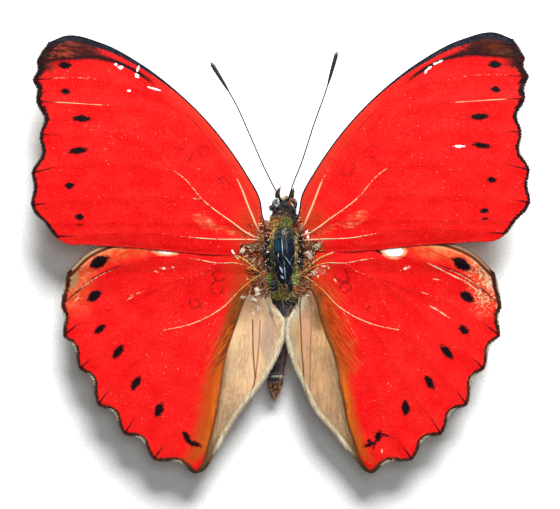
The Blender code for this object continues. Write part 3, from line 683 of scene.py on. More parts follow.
def tufts(roots, lean, normal, length, width, curl, uv, fields):
    """Tapered three-sided hairs.

    Each has a ring of three points at its root and one at 0.55 of its length, then a tip.
    Its middle line leaves along `lean` and bends by `curl` times its length towards -normal.
    `uv` is the root's place on the skin's unwrap, where each hair covers a small patch.
    """
    count = len(roots)
    lean = unit(lean)
    side = unit(np.cross(lean, normal))
    top = np.cross(side, lean)
    length = np.broadcast_to(length, count)[:, None]
    width = np.broadcast_to(width, count)[:, None]
    curl = np.broadcast_to(curl, count)[:, None]
    angle = np.radians([90, 210, 330])
    points = np.zeros((count, 7, 3))
    patch = np.zeros((count, 7, 2))
    for row, (share, thick) in enumerate(((0, 1), (0.55, 0.8))):
        middle = roots + lean * length * share - normal * curl * length * share ** 2
        for k in range(3):
            offset = side * math.cos(angle[k]) + top * 0.6 * math.sin(angle[k])
            points[:, row * 3 + k] = middle + offset * width * thick
            patch[:, row * 3 + k] = (UV_PATCH / 2 * math.cos(angle[k]), UV_PATCH * (share - 0.5))
    points[:, 6] = roots + lean * length - normal * curl * length
    patch[:, 6] = (0, UV_PATCH / 2)
    first = (np.arange(count) * 7)[:, None, None]
    quads = first + np.array([(0, 3, 4, 1), (1, 4, 5, 2), (2, 5, 3, 0)])
    triangles = first + np.array([(3, 6, 4), (4, 6, 5), (5, 6, 3), (0, 1, 2)])
    held = {key: np.repeat(values, 7) for key, values in fields.items()}
    held["along"] = np.tile([0, 0, 0, 0.55, 0.55, 0.55, 1], count)
    map_points = (np.asarray(uv)[:, None, :] + patch).reshape(-1, 2)
    return points.reshape(-1, 3), quads.reshape(-1, 4), triangles.reshape(-1, 3), held, map_points


def around_path(rng, path, radius, count, length, width, lift, ends=(0.02, 0.97)):
    """Hairs all round a tube, pointing along it and outwards by `lift`."""
    at = rng.uniform(*ends, count)
    angle = rng.uniform(0, 2 * math.pi, count)
    share = np.linspace(0, 1, len(path))
    along, across, up = [read_rows(at, share, rows) for rows in path_frame(path)]
    normal = unit(across * np.cos(angle)[:, None] + up * np.sin(angle)[:, None])
    roots = read_rows(at, share, path) + normal * (np.interp(at, share, radius) * 0.85)[:, None]
    lean = along + normal * (lift * rng.uniform(0.5, 1.6, count))[:, None]
    uv = np.column_stack([0.02 + 0.96 * at, 0.02 + 0.96 * angle / (2 * math.pi)])
    return tufts(roots, lean, square_to(lean, normal), length * rng.uniform(0.6, 1.2, count), width,
                 0.05, uv, {"tone": rng.uniform(0, 1, count)})


class Wing:
    """One wing: its outline in right-wing plan, its height, and where it lies."""

    def __init__(self, kind, side):
        self.kind = kind
        self.side = side
        self.left = side == "left"
        if kind == "fore":
            lobes, bays, veins = FORE_MARGIN, FORE_BAYS, FORE_VEINS | {"anal": FORE_ANAL[side]}
            front, rear = FORE_COSTA, FORE_TRAIL
            self.look = FORE_LOOK
        else:
            lobes, bays = HIND_MARGIN, HIND_BAYS
            veins = HIND_VEINS | {"anal_2": FOLD_LINE[side], "fold": FOLD_VEIN[side]}
            front, rear = HIND_COSTA, HIND_ANAL[side]
            self.look = HIND_LOOK
        self.front = smooth_path(front, 0.1)
        self.rear = smooth_path(rear, 0.1)
        edge, bay = scalloped_edge(lobes, bays, 40)
        self.margin = edge[::-1]
        self.bay = bay[::-1]
        self.veins = {name: smooth_path(points, 0.3) for name, points in veins.items()}

    def height(self, x, y):
        """Middle surface, as in the solids."""
        span = x - ROOT_X
        if self.kind == "fore":
            bow = np.sin(math.pi * np.clip((y + 0.5) / 29.5, 0, 1)) * np.clip(span / 12, 0, 1)
            return FORE_LEVEL + RISE * span - RISE_FADE * span ** 2 + FORE_BOW * bow
        front = np.clip((y - HIND_LIFT_FROM) / (HIND_LIFT_TO - HIND_LIFT_FROM), 0, 1)
        front = HIND_LIFT * front ** 2 * (3 - 2 * front)
        rear = np.clip((-y - 5) / 24, 0, 1)
        crease = read_curve([-p[1] for p in CREASE], [(p[0],) for p in CREASE],
                            np.clip(-y, -CREASE[0][1], -CREASE[-1][1]))[:, 0]
        inside = crease - x
        grown = np.clip((-y - 5) / 4, 0, 1)
        trough = TROUGH_DEPTH * np.exp(-((inside - 0.6) / 1.5) ** 2) * grown
        fold = FOLD_HEIGHT * np.exp(-((inside - 4.2) / 2.2) ** 2) * grown
        level = HIND_LEVEL + RISE * span - RISE_FADE * span ** 2
        return level + front - REAR_DROP * rear ** 2 - trough + fold

    def lay(self, plan, lift=0):
        """Points of the wing's middle surface, raised by `lift`, on its own side.

        Where the two wings of a side overlap they are closer than the middles of the solids.
        """
        x, y = plan[:, 0], plan[:, 1]
        close = 1 - np.clip(np.abs(y - 1) / OVERLAP_REACH, 0, 1) ** 2
        z = self.height(x, y) + lift + OVERLAP_SHIFT[self.kind] * close
        if self.kind == "fore":
            inside = y - np.interp(x, [p[0] for p in FORE_TRAIL], [p[1] for p in FORE_TRAIL])
            z -= EDGE_DROOP * np.exp(-(inside / 0.5) ** 2) * np.clip((26 - x) / 4, 0, 1)
        if not self.left:
            return np.column_stack([x, y, z])
        if self.kind == "fore":
            return np.column_stack([-x, y - LEFT_FORE_DROP, z])
        return np.column_stack([-x - LEFT_HIND_LEAN * y, y, z])

    def turn(self, vectors):
        """Plan directions of the right wing turned onto this wing's side."""
        flip = np.array([-1 if self.left else 1, 1])
        return np.column_stack([vectors * flip, np.zeros(len(vectors))])

    def patch(self):
        """Blend of the four edges (a Coons patch): u runs outwards and v towards the front."""
        front = even_path(self.front, GRID_ALONG)
        rear = even_path(self.rear, GRID_ALONG)
        outer = even_path(self.margin, GRID_ACROSS)
        v = np.linspace(0, 1, GRID_ACROSS)[None, :, None]
        u = np.linspace(0, 1, GRID_ALONG)[:, None, None]
        root = self.rear[0] + v * (self.front[0] - self.rear[0])
        blend = (1 - v) * rear[:, None] + v * front[:, None] + (1 - u) * root + u * outer[None]
        corners = ((1 - u) * (1 - v) * rear[0] + (1 - u) * v * front[0]
                   + u * (1 - v) * outer[0] + u * v * outer[-1])
        u, v = np.meshgrid(u[:, 0, 0], v[0, :, 0], indexing="ij")
        return (blend - corners).reshape(-1, 2), u.ravel(), v.ravel()

    def vein_gap(self, plan):
        """Distance to the nearest vein."""
        nearest = np.full(len(plan), 9)
        for path in self.veins.values():
            nearest = np.minimum(nearest, beside_path(plan, path[::3])[0])
        return nearest

    def fields(self, plan):
        """Numbers that the finishes read: distances from the wing's own lines, in millimetres."""
        held = {"margin": beside_path(plan, self.margin[::4])[0],
                "front": beside_path(plan, self.front[::6])[0],
                "rear": beside_path(plan, self.rear[::6])[0],
                "span": plan[:, 0], "reach": plan[:, 1]}
        lines = {"line": self.veins["radius" if self.kind == "fore" else "anal_2"]}
        if self.kind == "hind":
            lines["vein"] = self.veins["fold"]
            lines["seam"] = smooth_path(FOLD_SEAM[self.side], 0.3)
        for name, line in lines.items():
            gap, side, _ = beside_path(plan, line)
            held[name] = gap * side
        return held


def make_wing(wing, upper, under):
    """Thin membrane on a grid, pleated towards its veins, with an upper and an under face."""
    plan, u, v = wing.patch()
    fields = wing.fields(plan)
    gap = wing.vein_gap(plan)
    pleat = PLEAT * np.exp(-(gap / PLEAT_WIDTH) ** 2) - PLEAT / 3
    ripple = WRINKLE * np.sin(plan[:, 0] * 1.1 + 2 * np.sin(plan[:, 1] * 0.5)) * np.cos(plan[:, 1] * 0.9)
    edge = np.minimum(np.minimum(fields["margin"], fields["front"]), fields["rear"])
    half = RIM_HALF + (MEMBRANE_HALF - RIM_HALF) * np.clip(edge / 1.5, 0, 1)
    relief = (pleat + ripple) * np.clip(edge / 0.6, 0, 1)
    top = wing.lay(plan, relief + half)
    bottom = wing.lay(plan, relief - half)
    rows, cols = GRID_ALONG, GRID_ACROSS
    count = rows * cols
    upper_quads = grid_quads(rows, cols)
    under_quads = grid_quads(rows, cols, first=count)[:, ::-1]
    index = np.arange(count).reshape(rows, cols)
    rim = np.concatenate([index[:-1, 0], index[-1, :-1], index[:0:-1, -1], index[0, :0:-1]])
    after = np.roll(rim, -1)
    rim_quads = np.column_stack([rim, rim + count, after + count, after])
    quads = np.vstack([upper_quads, under_quads, rim_quads])
    if wing.left:
        quads = quads[:, ::-1]
    slots = np.concatenate([np.zeros(len(upper_quads)), np.ones(len(under_quads)), np.zeros(len(rim))])
    fields = {key: np.tile(values, 2) for key, values in fields.items()}
    uv = np.tile(np.column_stack([0.02 + 0.96 * u, 0.01 + 0.48 * v]), (2, 1))
    uv[count:, 1] += 0.5
    name = f"wing_{wing.kind}_{wing.side}"
    piece = make_piece(name, np.vstack([top, bottom]), [quads], [upper, under], fields, uv, slots)
    dress(piece, "wing", f"{wing.kind}wing_{wing.side}")


def blot_gap(plan, blots):
    """Signed gap to the nearest of some turned, slightly pointed ovals, as a share of their size."""
    nearest = np.full(len(plan), 9)
    for x, y, long, wide, turn in blots:
        turn = math.radians(turn)
        off = plan - np.array([x, y])
        u = (off[:, 0] * math.cos(turn) + off[:, 1] * math.sin(turn)) / long
        v = (off[:, 1] * math.cos(turn) - off[:, 0] * math.sin(turn)) / wide
        nearest = np.minimum(nearest, 0.78 * np.hypot(u, v) + 0.25 * (np.abs(u) + np.abs(v)) - 1)
    return nearest


def make_veins(wing, finish):
    """Tapered veins: flattened tubes that stand above and below the membrane."""
    sides = 8
    parts = []
    spots = (FORE_SPOTS if wing.kind == "fore" else HIND_SPOTS)[wing.side]
    for name, path in wing.veins.items():
        start, end, rub = wing.look[name]
        share = np.linspace(0, 1, len(path))
        rubbed = np.interp(share, [r[0] for r in rub], [r[1] for r in rub])
        wide = (start + (end - start) * share ** 0.7) * (0.6 + 0.6 * rubbed)
        wide[-1] *= 0.5
        rings = tube_rings(wing.lay(path, PLEAT * 2 / 3), wide, wide * 0.45 + MEMBRANE_HALF, sides)
        points, quads, triangles = closed_tube(rings)
        inner = name in ("anal_2", "fold")
        dark = name in ("radius", "radius_3") and wing.kind == "fore"
        held = {"rub": rubbed,
                "out": beside_path(path, wing.margin[::4])[0],
                "ink": blot_gap(path, spots),
                "span": path[:, 0], "reach": path[:, 1],
                "inner": np.full(len(path), float(inner)), "line": np.full(len(path), float(dark))}
        held = {key: ring_field(values, sides) for key, values in held.items()}
        parts.append((points, quads, triangles, held))
    points, quads, triangles, held = join(parts)
    piece = make_piece(f"veins_{wing.kind}_{wing.side}", points, [quads, triangles], [finish], held)
    dress(piece, "wing")


def edge_tufts(wing, rng, path, bay, count, length, spread, width, pale, reach=None):
    """Fringe along an edge: hairs square to it, that scatter a little to each side.

    `length` and `pale` are (value on a lobe, growth into a bay); `reach` keeps only a range of y.
    """
    chosen = np.sort(rng.uniform(0, 1, count))
    steps = travelled(path)
    at = chosen * steps[-1]
    plan = read_rows(at, steps, path)
    if reach is not None:
        kept = (plan[:, 1] > reach[0]) & (plan[:, 1] < reach[1])
        chosen, at, plan = chosen[kept], at[kept], plan[kept]
    count = len(plan)
    tangent = unit(read_rows(at, steps, np.gradient(path, axis=0)))
    outward = np.column_stack([tangent[:, 1], -tangent[:, 0]])
    hollow = np.interp(at, steps, bay)
    lean = outward + tangent * rng.normal(0, spread, count)[:, None]
    plan = plan - outward * rng.uniform(0.02, 0.16, count)[:, None]
    roots = wing.lay(plan, rng.uniform(-RIM_HALF, RIM_HALF, count))
    direction = wing.turn(lean)
    direction[:, 2] = rng.normal(-0.05, 0.12, count)
    sizes = (length[0] + length[1] * hollow) * rng.uniform(0.65, 1.15, count)
    tone = rng.uniform(0, 1, count)
    fields = {"tone": tone, "pale": pale[0] + pale[1] * hollow + rng.normal(0, 0.12, count)}
    uv = np.column_stack([0.05 + 0.9 * chosen, np.full(count, 0.5)])
    up = square_to(direction, [0, 0, 1])
    return tufts(roots, direction, up, sizes, width, rng.normal(0.08, 0.06, count), uv, fields)


def lay_coat(name, bundles, finish, slot, *nodes):
    """Several bundles of hairs joined into one coat piece."""
    points, quads, triangles, fields = join(bundles)
    maps = np.vstack([bundle[4] for bundle in bundles])
    piece = make_piece(name, points, [quads, triangles], [finish], fields, maps, smooth=80,
                       uv_name="OFBake")
    dress(piece, slot, *nodes)


# Outer and rear fringe of each wing: hairs, length, scatter, width, paleness and range of y
FRINGES = {
    "fore": [(2100, (0.26, 0.1), 0.35, 0.028, (0, 0)), (2000, (0.2, 0), 0.5, 0.024, (-2, 0))],
    "hind": [
        (2600, (0.24, 0.16), 0.35, 0.026, (-0.27, 0.9)),
        (3400, (0.42, 0), 0.5, 0.02, (1, 0), (-26, -8.5))
    ],
}


def make_fringe(wing, finish, rng):
    """Fringe of the outer margin, dark on the lobes and pale in the bays, and of the rear edge."""
    outer, rear = FRINGES[wing.kind]
    outer = edge_tufts(wing, rng, wing.margin, wing.bay, *outer)
    rear = edge_tufts(wing, rng, wing.rear, np.zeros(len(wing.rear)), *rear)
    lay_coat(f"fringe_{wing.kind}_{wing.side}", [outer, rear], finish, "wing")


def red_field(f):
    """Blood-red scales: two close reds in soft clouds, with a fine grain."""
    cloud = f.noise(0.3, 4, 0.65)
    grain = f.noise(4.5, 3, 0.7)
    red = f.mix(cloud.rise(0.36, 0.64), (252, 0, 8), (255, 24, 22))
    red = f.mix(grain.rise(0.5, 0.8) * 0.7, red, (255, 78, 58))
    return f.mix(grain.rise(0.48, 0.25) * 0.5, red, (222, 0, 6))


def dust(f, colour):
    """Tiny pale marks where single scales are missing, thicker in drifts."""
    drift = f.noise(0.22, 3, 0.65)
    chosen = f.noise(1.9, 2, 0.6)
    speck = f.cells(2.3).rise(0.24, 0.1) * (chosen + drift * 0.5).rise(0.84, 0.92)
    grit = f.noise(5.5, 2, 0.5).rise(0.68, 0.76) * drift.rise(0.36, 0.6)
    scuff = f.noise(1.6, 4, 0.7, (0.6, 1.5, 1)).rise(0.62, 0.74) * drift.rise(0.4, 0.65)
    colour = f.layers(colour, [
        (speck * 0.7, (255, 164, 138)),
        (grit * 0.4, (255, 110, 86)),
        (scuff * 0.35, (255, 92, 66)),
    ])
    lash = f.noise(2.2, 2, 0.5, (0.35, 1.6, 1)).rise(0.75, 0.79) * drift.rise(0.45, 0.6)
    return f.mix(lash * 0.6, colour, (255, 170, 140))


def scale_relief(f):
    """Rows of overlapping scales as fine relief, with the wing's faint crumple."""
    rows = f.cells(9, (1, 1.6, 1))
    f.bump(rows * 0.5 + f.noise(1.2, 3) * 1.4, 0.05, 0.6)


def zones(f, plan, under, table, rough):
    """Noisy-edged oval patches laid over a colour: x, y, half width, half length, turn, colour."""
    for x, y, wide, long, turn, colour in table:
        here = f.local(plan, x, y, turn, wide, long)
        gap = f.vector("LENGTH", here, output="Value")
        under = f.mix((gap + rough).rise(1.15, 0.8), under, colour)
    return under


def loops(f, plan, rings, rough):
    """Faint wavy loops: bands about the edges of some ellipses, broken here and there."""
    wander = f.noise(1.1, 2, 0.5) - 0.5
    band = (f.blots(plan, rings) + wander * 1.3 + rough * 0.5).size().rise(0.24, 0.04)
    return band * f.noise(0.8, 2).rise(0.36, 0.56)


def squiggles(f, scale, width):
    """Thin wandering lines: where a soft noise passes its middle value."""
    return (f.noise(scale, 2, 0.5) - 0.5).size().rise(width, width * 0.4)


def crumbs(f, cover):
    """Speckled wing root: black, rust, ochre and cream crumbs, and how far they cover the wing."""
    speckle, patch = f.noise(2.6, 3, 0.7, (0.7, 1.3, 1)), f.noise(1.1, 2, 0.6)
    colour = f.layers(f.mix((speckle + patch * 0.3).rise(0.58, 0.66), (18, 9, 9), (128, 44, 12)), [
        ((speckle + patch * 0.3).rise(0.7, 0.76), (220, 106, 36)),
        ((speckle - patch * 0.2).rise(0.49, 0.53), (250, 208, 150)),
    ])
    return colour, (cover + speckle * 0.5).rise(0.55, 0.85)


def fore_upper(side):
    """Upper face of a forewing: red, a black front edge, a brown tip and a hairy dark margin."""
    f = Finish("forewing_scales_" + side, 0.6, 0.08)
    margin, front = f.fields("margin", "front")
    line, span, reach = f.fields("line", "span", "reach")
    plan = f.plan()
    rough = f.noise(2.4, 4, 0.65) - 0.5
    fine = f.noise(7, 3) - 0.5
    hair = f.noise(3.4, 3, 0.6, (0.35, 1.8, 1)) - 0.5
    strip = (front + rough * 0.8).rise(2.6, 0.2) * (reach + rough * 4).rise(27, 15)
    patchy = f.noise(1.5, 3, 0.7, (0.6, 1.6, 1))
    lower = f.blots(plan, [(9.9, 4.6, 1.9, 0.8, 30), (6.6, 3.4, 1.6, 0.35, 22)])
    lower = (lower + rough * 1.2).rise(0.3, -0.2)
    glow = (span + rough * 3).rise(7.5, 4) * (reach + rough * 2).rise(8, 5)
    root = (span + rough * 1.6 + reach * 0.2).rise(4.4, 2.8)
    behind = (reach + rough * 0.8).rise(2.1, 1.5) * (span + rough * 3).rise(6.6, 4.2)
    mottle, cover = crumbs(f, root.most(behind))
    ridge = (line.size() + fine * 0.16).rise(0.3, 0.14) * (span + rough * 2).rise(16.2, 18)
    thick = (line.size() + rough * 0.5).rise(0.6, 0.2) * (span + rough * 4).rise(20.5, 23.5)
    above = (line + rough * 0.7).rise(-0.1, 0.3)
    tip = (span + rough * 7 + hair * 3).rise(22.6, 25) * above
    below = (line + 1.5 + rough * 1.6 + hair).rise(-0.5, 0.4) * (span + rough * 3).rise(28.8, 31.2)
    smoke = f.noise(1.3, 4, 0.7, (0.5, 1.6, 1))
    worn = (84, 44, 18) if side == "right" else (150, 62, 42)
    brown = f.mix(smoke.rise(0.38, 0.62), (46, 15, 15), worn)
    brown = f.mix(smoke.rise(0.56, 0.72) * 0.8, brown, (176, 40, 26))
    brown = f.mix((span + rough * 5).rise(28.6, 26.2) * 0.8, brown, (26, 4, 12))
    depth = (reach + rough * 2).rise(16, 23) * 0.42 + reach.rise(24, 27) * 0.3 + 0.36
    edge = (margin / depth + rough * 1.5 + fine * 0.9 + hair * 1.4).rise(1.1, 0.8)
    dash = (f.wedges(plan, FORE_DASHES) + fine * 0.2 + rough * 0.1).rise(-0.03, 0.06)
    dark = f.mix(smoke.rise(0.5, 0.7), (26, 7, 10), (70, 30, 16))
    width = span.rise(11, 26) * 0.62 + 0.2
    band = (front / width + fine * 0.35 + rough * 0.3).rise(1.1, 0.85)
    ink = f.blots(plan, FORE_SPOTS[side]) + rough * 0.5 + fine * 0.3 + hair * 0.35
    colour = f.layers(dust(f, red_field(f)), [
        (strip * 0.55, (214, 66, 40)),
        (patchy.rise(0.36, 0.56) * lower * 0.8, (250, 92, 56)),
        (patchy.rise(0.56, 0.64) * lower * 0.7, (255, 160, 120)),
        (loops(f, plan, FORE_LOOPS[side], rough) * 0.55, (150, 4, 14)),
        (glow * 0.75, (206, 62, 22)),
        (cover * 0.95, mottle),
        (ridge.most(thick * 0.9), (50, 8, 14)),
        (tip.most(below) * 0.97, brown),
        (edge, dark),
        (dash * 0.88, (60, 4, 8)),
        (band, f.mix(rough.rise(-0.15, 0.3), (16, 12, 22), (52, 54, 74))),
        (ink.rise(0.18, 0) * 0.8, (120, 6, 8)),
        (ink.rise(0.06, -0.08), (14, 0, 8)),
    ])
    bare = (f.blots(plan, FORE_FLECKS[side]) + rough * 0.4).rise(0.06, -0.03)
    f.colour(f.mix(bare, colour, BARE_WHITE))
    scale_relief(f)
    return f.material


def inner_fold(f, line, reach, rear, rough, side):
    """Colours of the hindwing's silky inner fold, from its pink-brown root to its cream edge."""
    plan = f.plan()
    silk = f.noise(1.5, 3, 0.6, (2.4, 0.28, 1))
    uneven = reach + rough * 2
    left = side == "left"
    # near: painted shade beside the crease, streaked like hair
    if left:
        tan = f.mix(silk.rise(0.3, 0.7), (234, 186, 138), (252, 212, 164))
        near = (line + silk * 1.4 + rough * 0.6).rise(-1, 0.8) * uneven.rise(-10.5, -16)
        shade = (f.blots(plan, [(2, -11.2, 1, 3.4, 4)]) + rough * 0.6).rise(0.3, -0.3)
        # slot: a painted shadow band by the curled inner edge
        slot = (f.blots(plan, [(1.45, -8, 0.17, 2.1, -17)]) + rough * 0.5).rise(0.2, -0.2)
        start = reach.rise(-8.3, -9.2)
    else:
        tan = f.mix(silk.rise(0.3, 0.7), (198, 150, 102), (226, 178, 128))
        near = (line + silk * 1.6 + rough * 0.8).rise(-1.7, 0.6) * uneven.rise(-11, -15)
        shade = (f.blots(plan, [(4.75, -8.6, 0.9, 1.9, 12)]) + rough).rise(0.4, -0.4)
        # slot: a painted shadow of the gap beside the body
        slot = (f.blots(plan, [(2, -6.6, 0.7, 1.5, -14)]) + rough * 0.6).rise(0.2, -0.2)
        slot = slot * f.strands(plan, -70, 2.4, 0.2).rise(0.44, 0.56)
        start = reach.rise(-5, -6.5)
    between = f.field("vein") * f.field("seam") * -1
    hairy = f.mix(f.strands(plan, -80, 2.4, 0.2).rise(0.4, 0.6), (122, 92, 66), (172, 138, 104))
    # low: painted shade towards the fold's lower end
    low = (uneven + silk * 4).rise(-15.5, -21)
    flap = (rear + silk * 0.8).rise(1.9, 0.9) * (reach + silk * 3).rise(-14, -11)
    seam = (f.field("seam") + rough * 0.08).size().rise(0.16, 0.05) * reach.rise(-19.5, -18)
    dark = (f.field("vein") + rough * 0.06).size().rise(0.15, 0.05) * reach.rise(-19, -17.5)
    edge = (rear + rough * 0.3 + silk * 0.15).rise(0.6, 0.25) * uneven.rise(-7, -8.5)
    return f.layers(tan, [
        (shade * 0.8, (192, 164, 144) if left else (126, 86, 42)),
        ((between + rough * 0.2).rise(-0.05, 0.25) * 0.5, (206, 152, 124)),
        # painted shade near the crease and at the fold's lower end, streaked like hair
        ((near * 0.8).most(low * 0.75), hairy),
        ((uneven + line * 0.6).rise(-23.5, -27) * 0.8, (96, 66, 40)),
        ((reach + silk * 3).rise(-8.5, -5) * 0.7, (140, 100, 76)),
        (flap * (0.3 if left else 0.7), (204, 198, 166)),
        # painted shadow
        (slot * 0.8, (62, 62, 70)),
        (seam * start * 0.75, (152, 92, 68)),
        (dark * start * 0.8, (82, 46, 32)),
        (edge * uneven.rise(-27.5, -24) * 0.95, (244, 232, 200)),
    ])


def crease_glow(f, line, reach, rough, side):
    """Orange-brown band outside the crease: a fan of dark strands above, bright orange below.

    Returns its colour and how far it covers the red.
    """
    left = side == "left"
    uneven = reach + rough * 2
    streak = f.strands(f.plan(), -52, 2, 0.24)
    soft = f.noise(1.3, 3, 0.6, (2, 0.25, 1))
    fan = (reach + soft * 3).rise(-16, -12)
    wide = (reach.rise(-12, -18) * 0.7 + 1.8) if left else (fan * 1.5 + 1.5)
    cover = (line / wide + (streak - 0.5) * (0.7 + fan * 1.4) + rough * 0.4).rise(1.35, 0.45)
    cover = cover * (reach + 4.2).rise(1.5, -1.5) * (uneven + line).rise(-27.8, -25.5)
    lower = f.layers(f.mix(soft.rise(0.35, 0.6), (212, 94, 18), (240, 130, 36)), [
        ((line + soft * 1.2).rise(0.9, 1.9) * 0.85, (196, 68, 12) if left else (228, 74, 26)),
        ((reach + soft * 3).rise(-18, -21.5) * 0.6, (196, 84, 18)),
    ])
    if left:
        upper = f.mix(streak.rise(0.42, 0.56), (204, 96, 26), (112, 54, 12))
        upper = f.mix((uneven + line * 1.5).rise(-9.5, -6.5) * 0.7, upper, (104, 70, 24))
    else:
        upper = f.mix(streak.rise(0.42, 0.56), (226, 84, 24), (172, 62, 16))
        upper = f.mix((line + soft * 0.8).rise(1.7, 0.7) * 0.7, upper, (148, 92, 28))
    upper = f.mix((line + rough).rise(0.5, 0.1) * 0.7, upper, (96, 56, 18))
    # painted shade in the crease's trough, deeper lower down
    crease_shade = (line + rough * 0.2).rise(0.3, 0.06) * uneven.rise(-16, -21).most(0.35)
    return f.mix(crease_shade * 0.8, f.mix(fan, lower, upper), (92, 48, 14)), cover


def hind_upper(side):
    """Upper face of a hindwing: red field, orange front corner, and the silky inner fold."""
    f = Finish("hindwing_scales_" + side, 0.6, 0.08)
    left = side == "left"
    margin, front, rear = f.fields("margin", "front", "rear")
    line, span, reach = f.fields("line", "span", "reach")
    plan = f.plan()
    rough = f.noise(2, 4, 0.65) - 0.5
    fine = f.noise(7, 3) - 0.5
    patch = f.noise(1.8, 4, 0.75)
    rust = (span + rough * 3).rise(8.6, 4.4) * (reach + rough * 2).rise(0.5, -1)
    mottle, cover = crumbs(f, (span - reach * 0.1 + rough * 2.4).rise(5.8, 3.4))
    corner = (front + rough * 0.9).rise(3.4, 0.9) * (span + rough * 2).rise(15.5, 20)
    peach = f.mix(f.noise(0.8, 3, 0.6).rise(0.4, 0.65), (246, 82, 34), (250, 136, 76))
    palest = (front + rough * 0.6).rise(1.3, 0.5) * (span - 20.6).size().rise(2.6, 0.8)
    peach = f.mix(palest, peach, (244, 178, 110))
    outer = (margin + rough * 2.5).rise(4.4, 1.6) * (reach + 7.5).rise(-2, 3)
    worn = (margin + rough * 2.6).rise(1.9, 0.6) * (reach + 4.4).rise(-1.5, 1)
    dull, light = ((196, 66, 22), (240, 122, 60)) if left else ((206, 132, 96), (252, 214, 180))
    worn_colour = f.mix(patch.rise(0.4, 0.6), dull, light)
    scratched = squiggles(f, 1.7, 0.07) * f.noise(1.1, 2).rise(0.4, 0.5) * (0.2 if left else 1)
    scratched = scratched * (margin + rough * 2.5).rise(4.4, 1.8) * (reach + 8).rise(-1, 3)
    colour = f.layers(dust(f, red_field(f)), [
        (rust * (0.9 if left else 0.6), (200, 62, 16)),
        (cover * 0.95, mottle),
        (corner * 0.95, peach),
        (outer * 0.85, (240, 84, 38)),
        (worn * 0.85, worn_colour),
        (scratched * 0.95, (254, 220, 176)),
    ])
    if left:
        taupe = (f.blots(plan, [(27.9, -3.4, 1, 1.4, 20)]) + rough * 1.2).rise(0.35, -0.35)
        colour = f.mix(taupe * 0.85, colour, (172, 134, 92))
    # painted shadow: dark strokes beside the vein ridges and beside the bare patch
    shadow_stroke = (f.blots(plan, HIND_SHADOW_STROKES[side]) + fine * 0.06).rise(0.05, -0.03)
    pale = (f.blots(plan, HIND_LASHES[side]) + fine * 0.3 + rough * 0.1).rise(0.06, -0.02)
    lip = (span + rough * 2).rise(19, 21)
    inner_lip = (front - 0.92 + fine * 0.1).size().rise(0.11, 0.05) * patch.rise(0.38, 0.48)
    strip = (196, 156, 118) if left else (166, 126, 98)
    depth = (reach + 12).rise(-2, 9) * 0.22 + 0.34
    edge = (margin / depth + rough * 1.4 + fine * 0.7).rise(1.15, 0.8)
    dash = (f.wedges(plan, HIND_DASHES) + fine * 0.14 + rough * 0.1).rise(-0.03, 0.06)
    glow, warm = crease_glow(f, line, reach, rough, side)
    root_crumbs, root_cover = crumbs(f, (reach + rough * 2).rise(-6.6, -4.2))
    fold = f.mix(root_cover * 0.95, inner_fold(f, line, reach, rear, rough, side), root_crumbs)
    # painted shade along the crease: soft on both wings, with a sharper line on the right
    soft_crease_shade = (line + rough * 0.4).size().rise(0.5, 0) * 0.7
    crease = (line + rough * 0.15).size().rise(0.26, 0.05) * (0 if left else 1)
    crease = crease.most(soft_crease_shade) * (reach + rough * 3).rise(-12, -19)
    crease = crease.most((line + rough * 0.1).size().rise(0.14, 0.04) * (0 if left else 1))
    tip = (reach + rough * 2).rise(-26.6, -28.2) * (rear.least(margin) + rough * 0.4).rise(0.7, 0.3)
    scratch = f.noise(3.2, 3, 0.7, (0.5, 1.6, 1)) - 0.5
    ink = f.blots(plan, HIND_SPOTS[side]) + rough * 0.5 + fine * 0.35 + scratch * 0.5
    colour = f.layers(colour, [
        (shadow_stroke, (60, 16, 12)),
        (pale * 0.9, (255, 224, 188)),
        (loops(f, plan, HIND_LOOPS, rough) * 0.7, (140, 6, 12)),
        (inner_lip * lip * 0.4, (250, 196, 150)),
        ((front + fine * 0.2).rise(0.85, 0.65) * lip, (96, 46, 22)),
        ((front - 0.24 + fine * 0.1).size().rise(0.22, 0.1) * lip, strip),
        (edge, f.mix(rough.rise(-0.2, 0.3), (44, 12, 8), (100, 46, 20))),
        (dash * 0.9, (60, 4, 6)),
        (warm * 0.95, glow),
        ((line + rough * 0.15).rise(0.1, -0.1), fold),
        # painted shade along the crease
        (crease * 0.75, (84, 50, 22)),
        (tip * 0.9, (64, 44, 22)),
        (ink.rise(0.2, 0) * 0.8, (120, 6, 8)),
        (ink.rise(0.06, -0.08), (14, 0, 8)),
    ])
    if not left:
        rubbed = (f.blots(plan, [(5.45, -2.3, 0.5, 0.44, 0)]) + rough * 0.9).rise(0.12, -0.1)
        colour = f.mix(rubbed, colour, f.mix(patch.rise(0.4, 0.55), (226, 74, 50), (244, 128, 84)))
    gap = f.blots(plan, HIND_FLECKS[side])
    bare = (gap + rough * 0.5 + fine * 0.45).rise(0.05, -0.04)
    halo = (gap + rough * 0.5).rise(0.4, 0.05) * span.rise(12, 13.5) * reach.rise(-1.2, -0.6)
    colour = f.mix(halo * 0.8, colour, (252, 206, 150))
    white = f.mix((gap + fine * 0.2).rise(-0.04, -0.14), (254, 196, 164), BARE_WHITE)
    f.colour(f.mix(bare, colour, white))
    scale_relief(f)
    return f.material


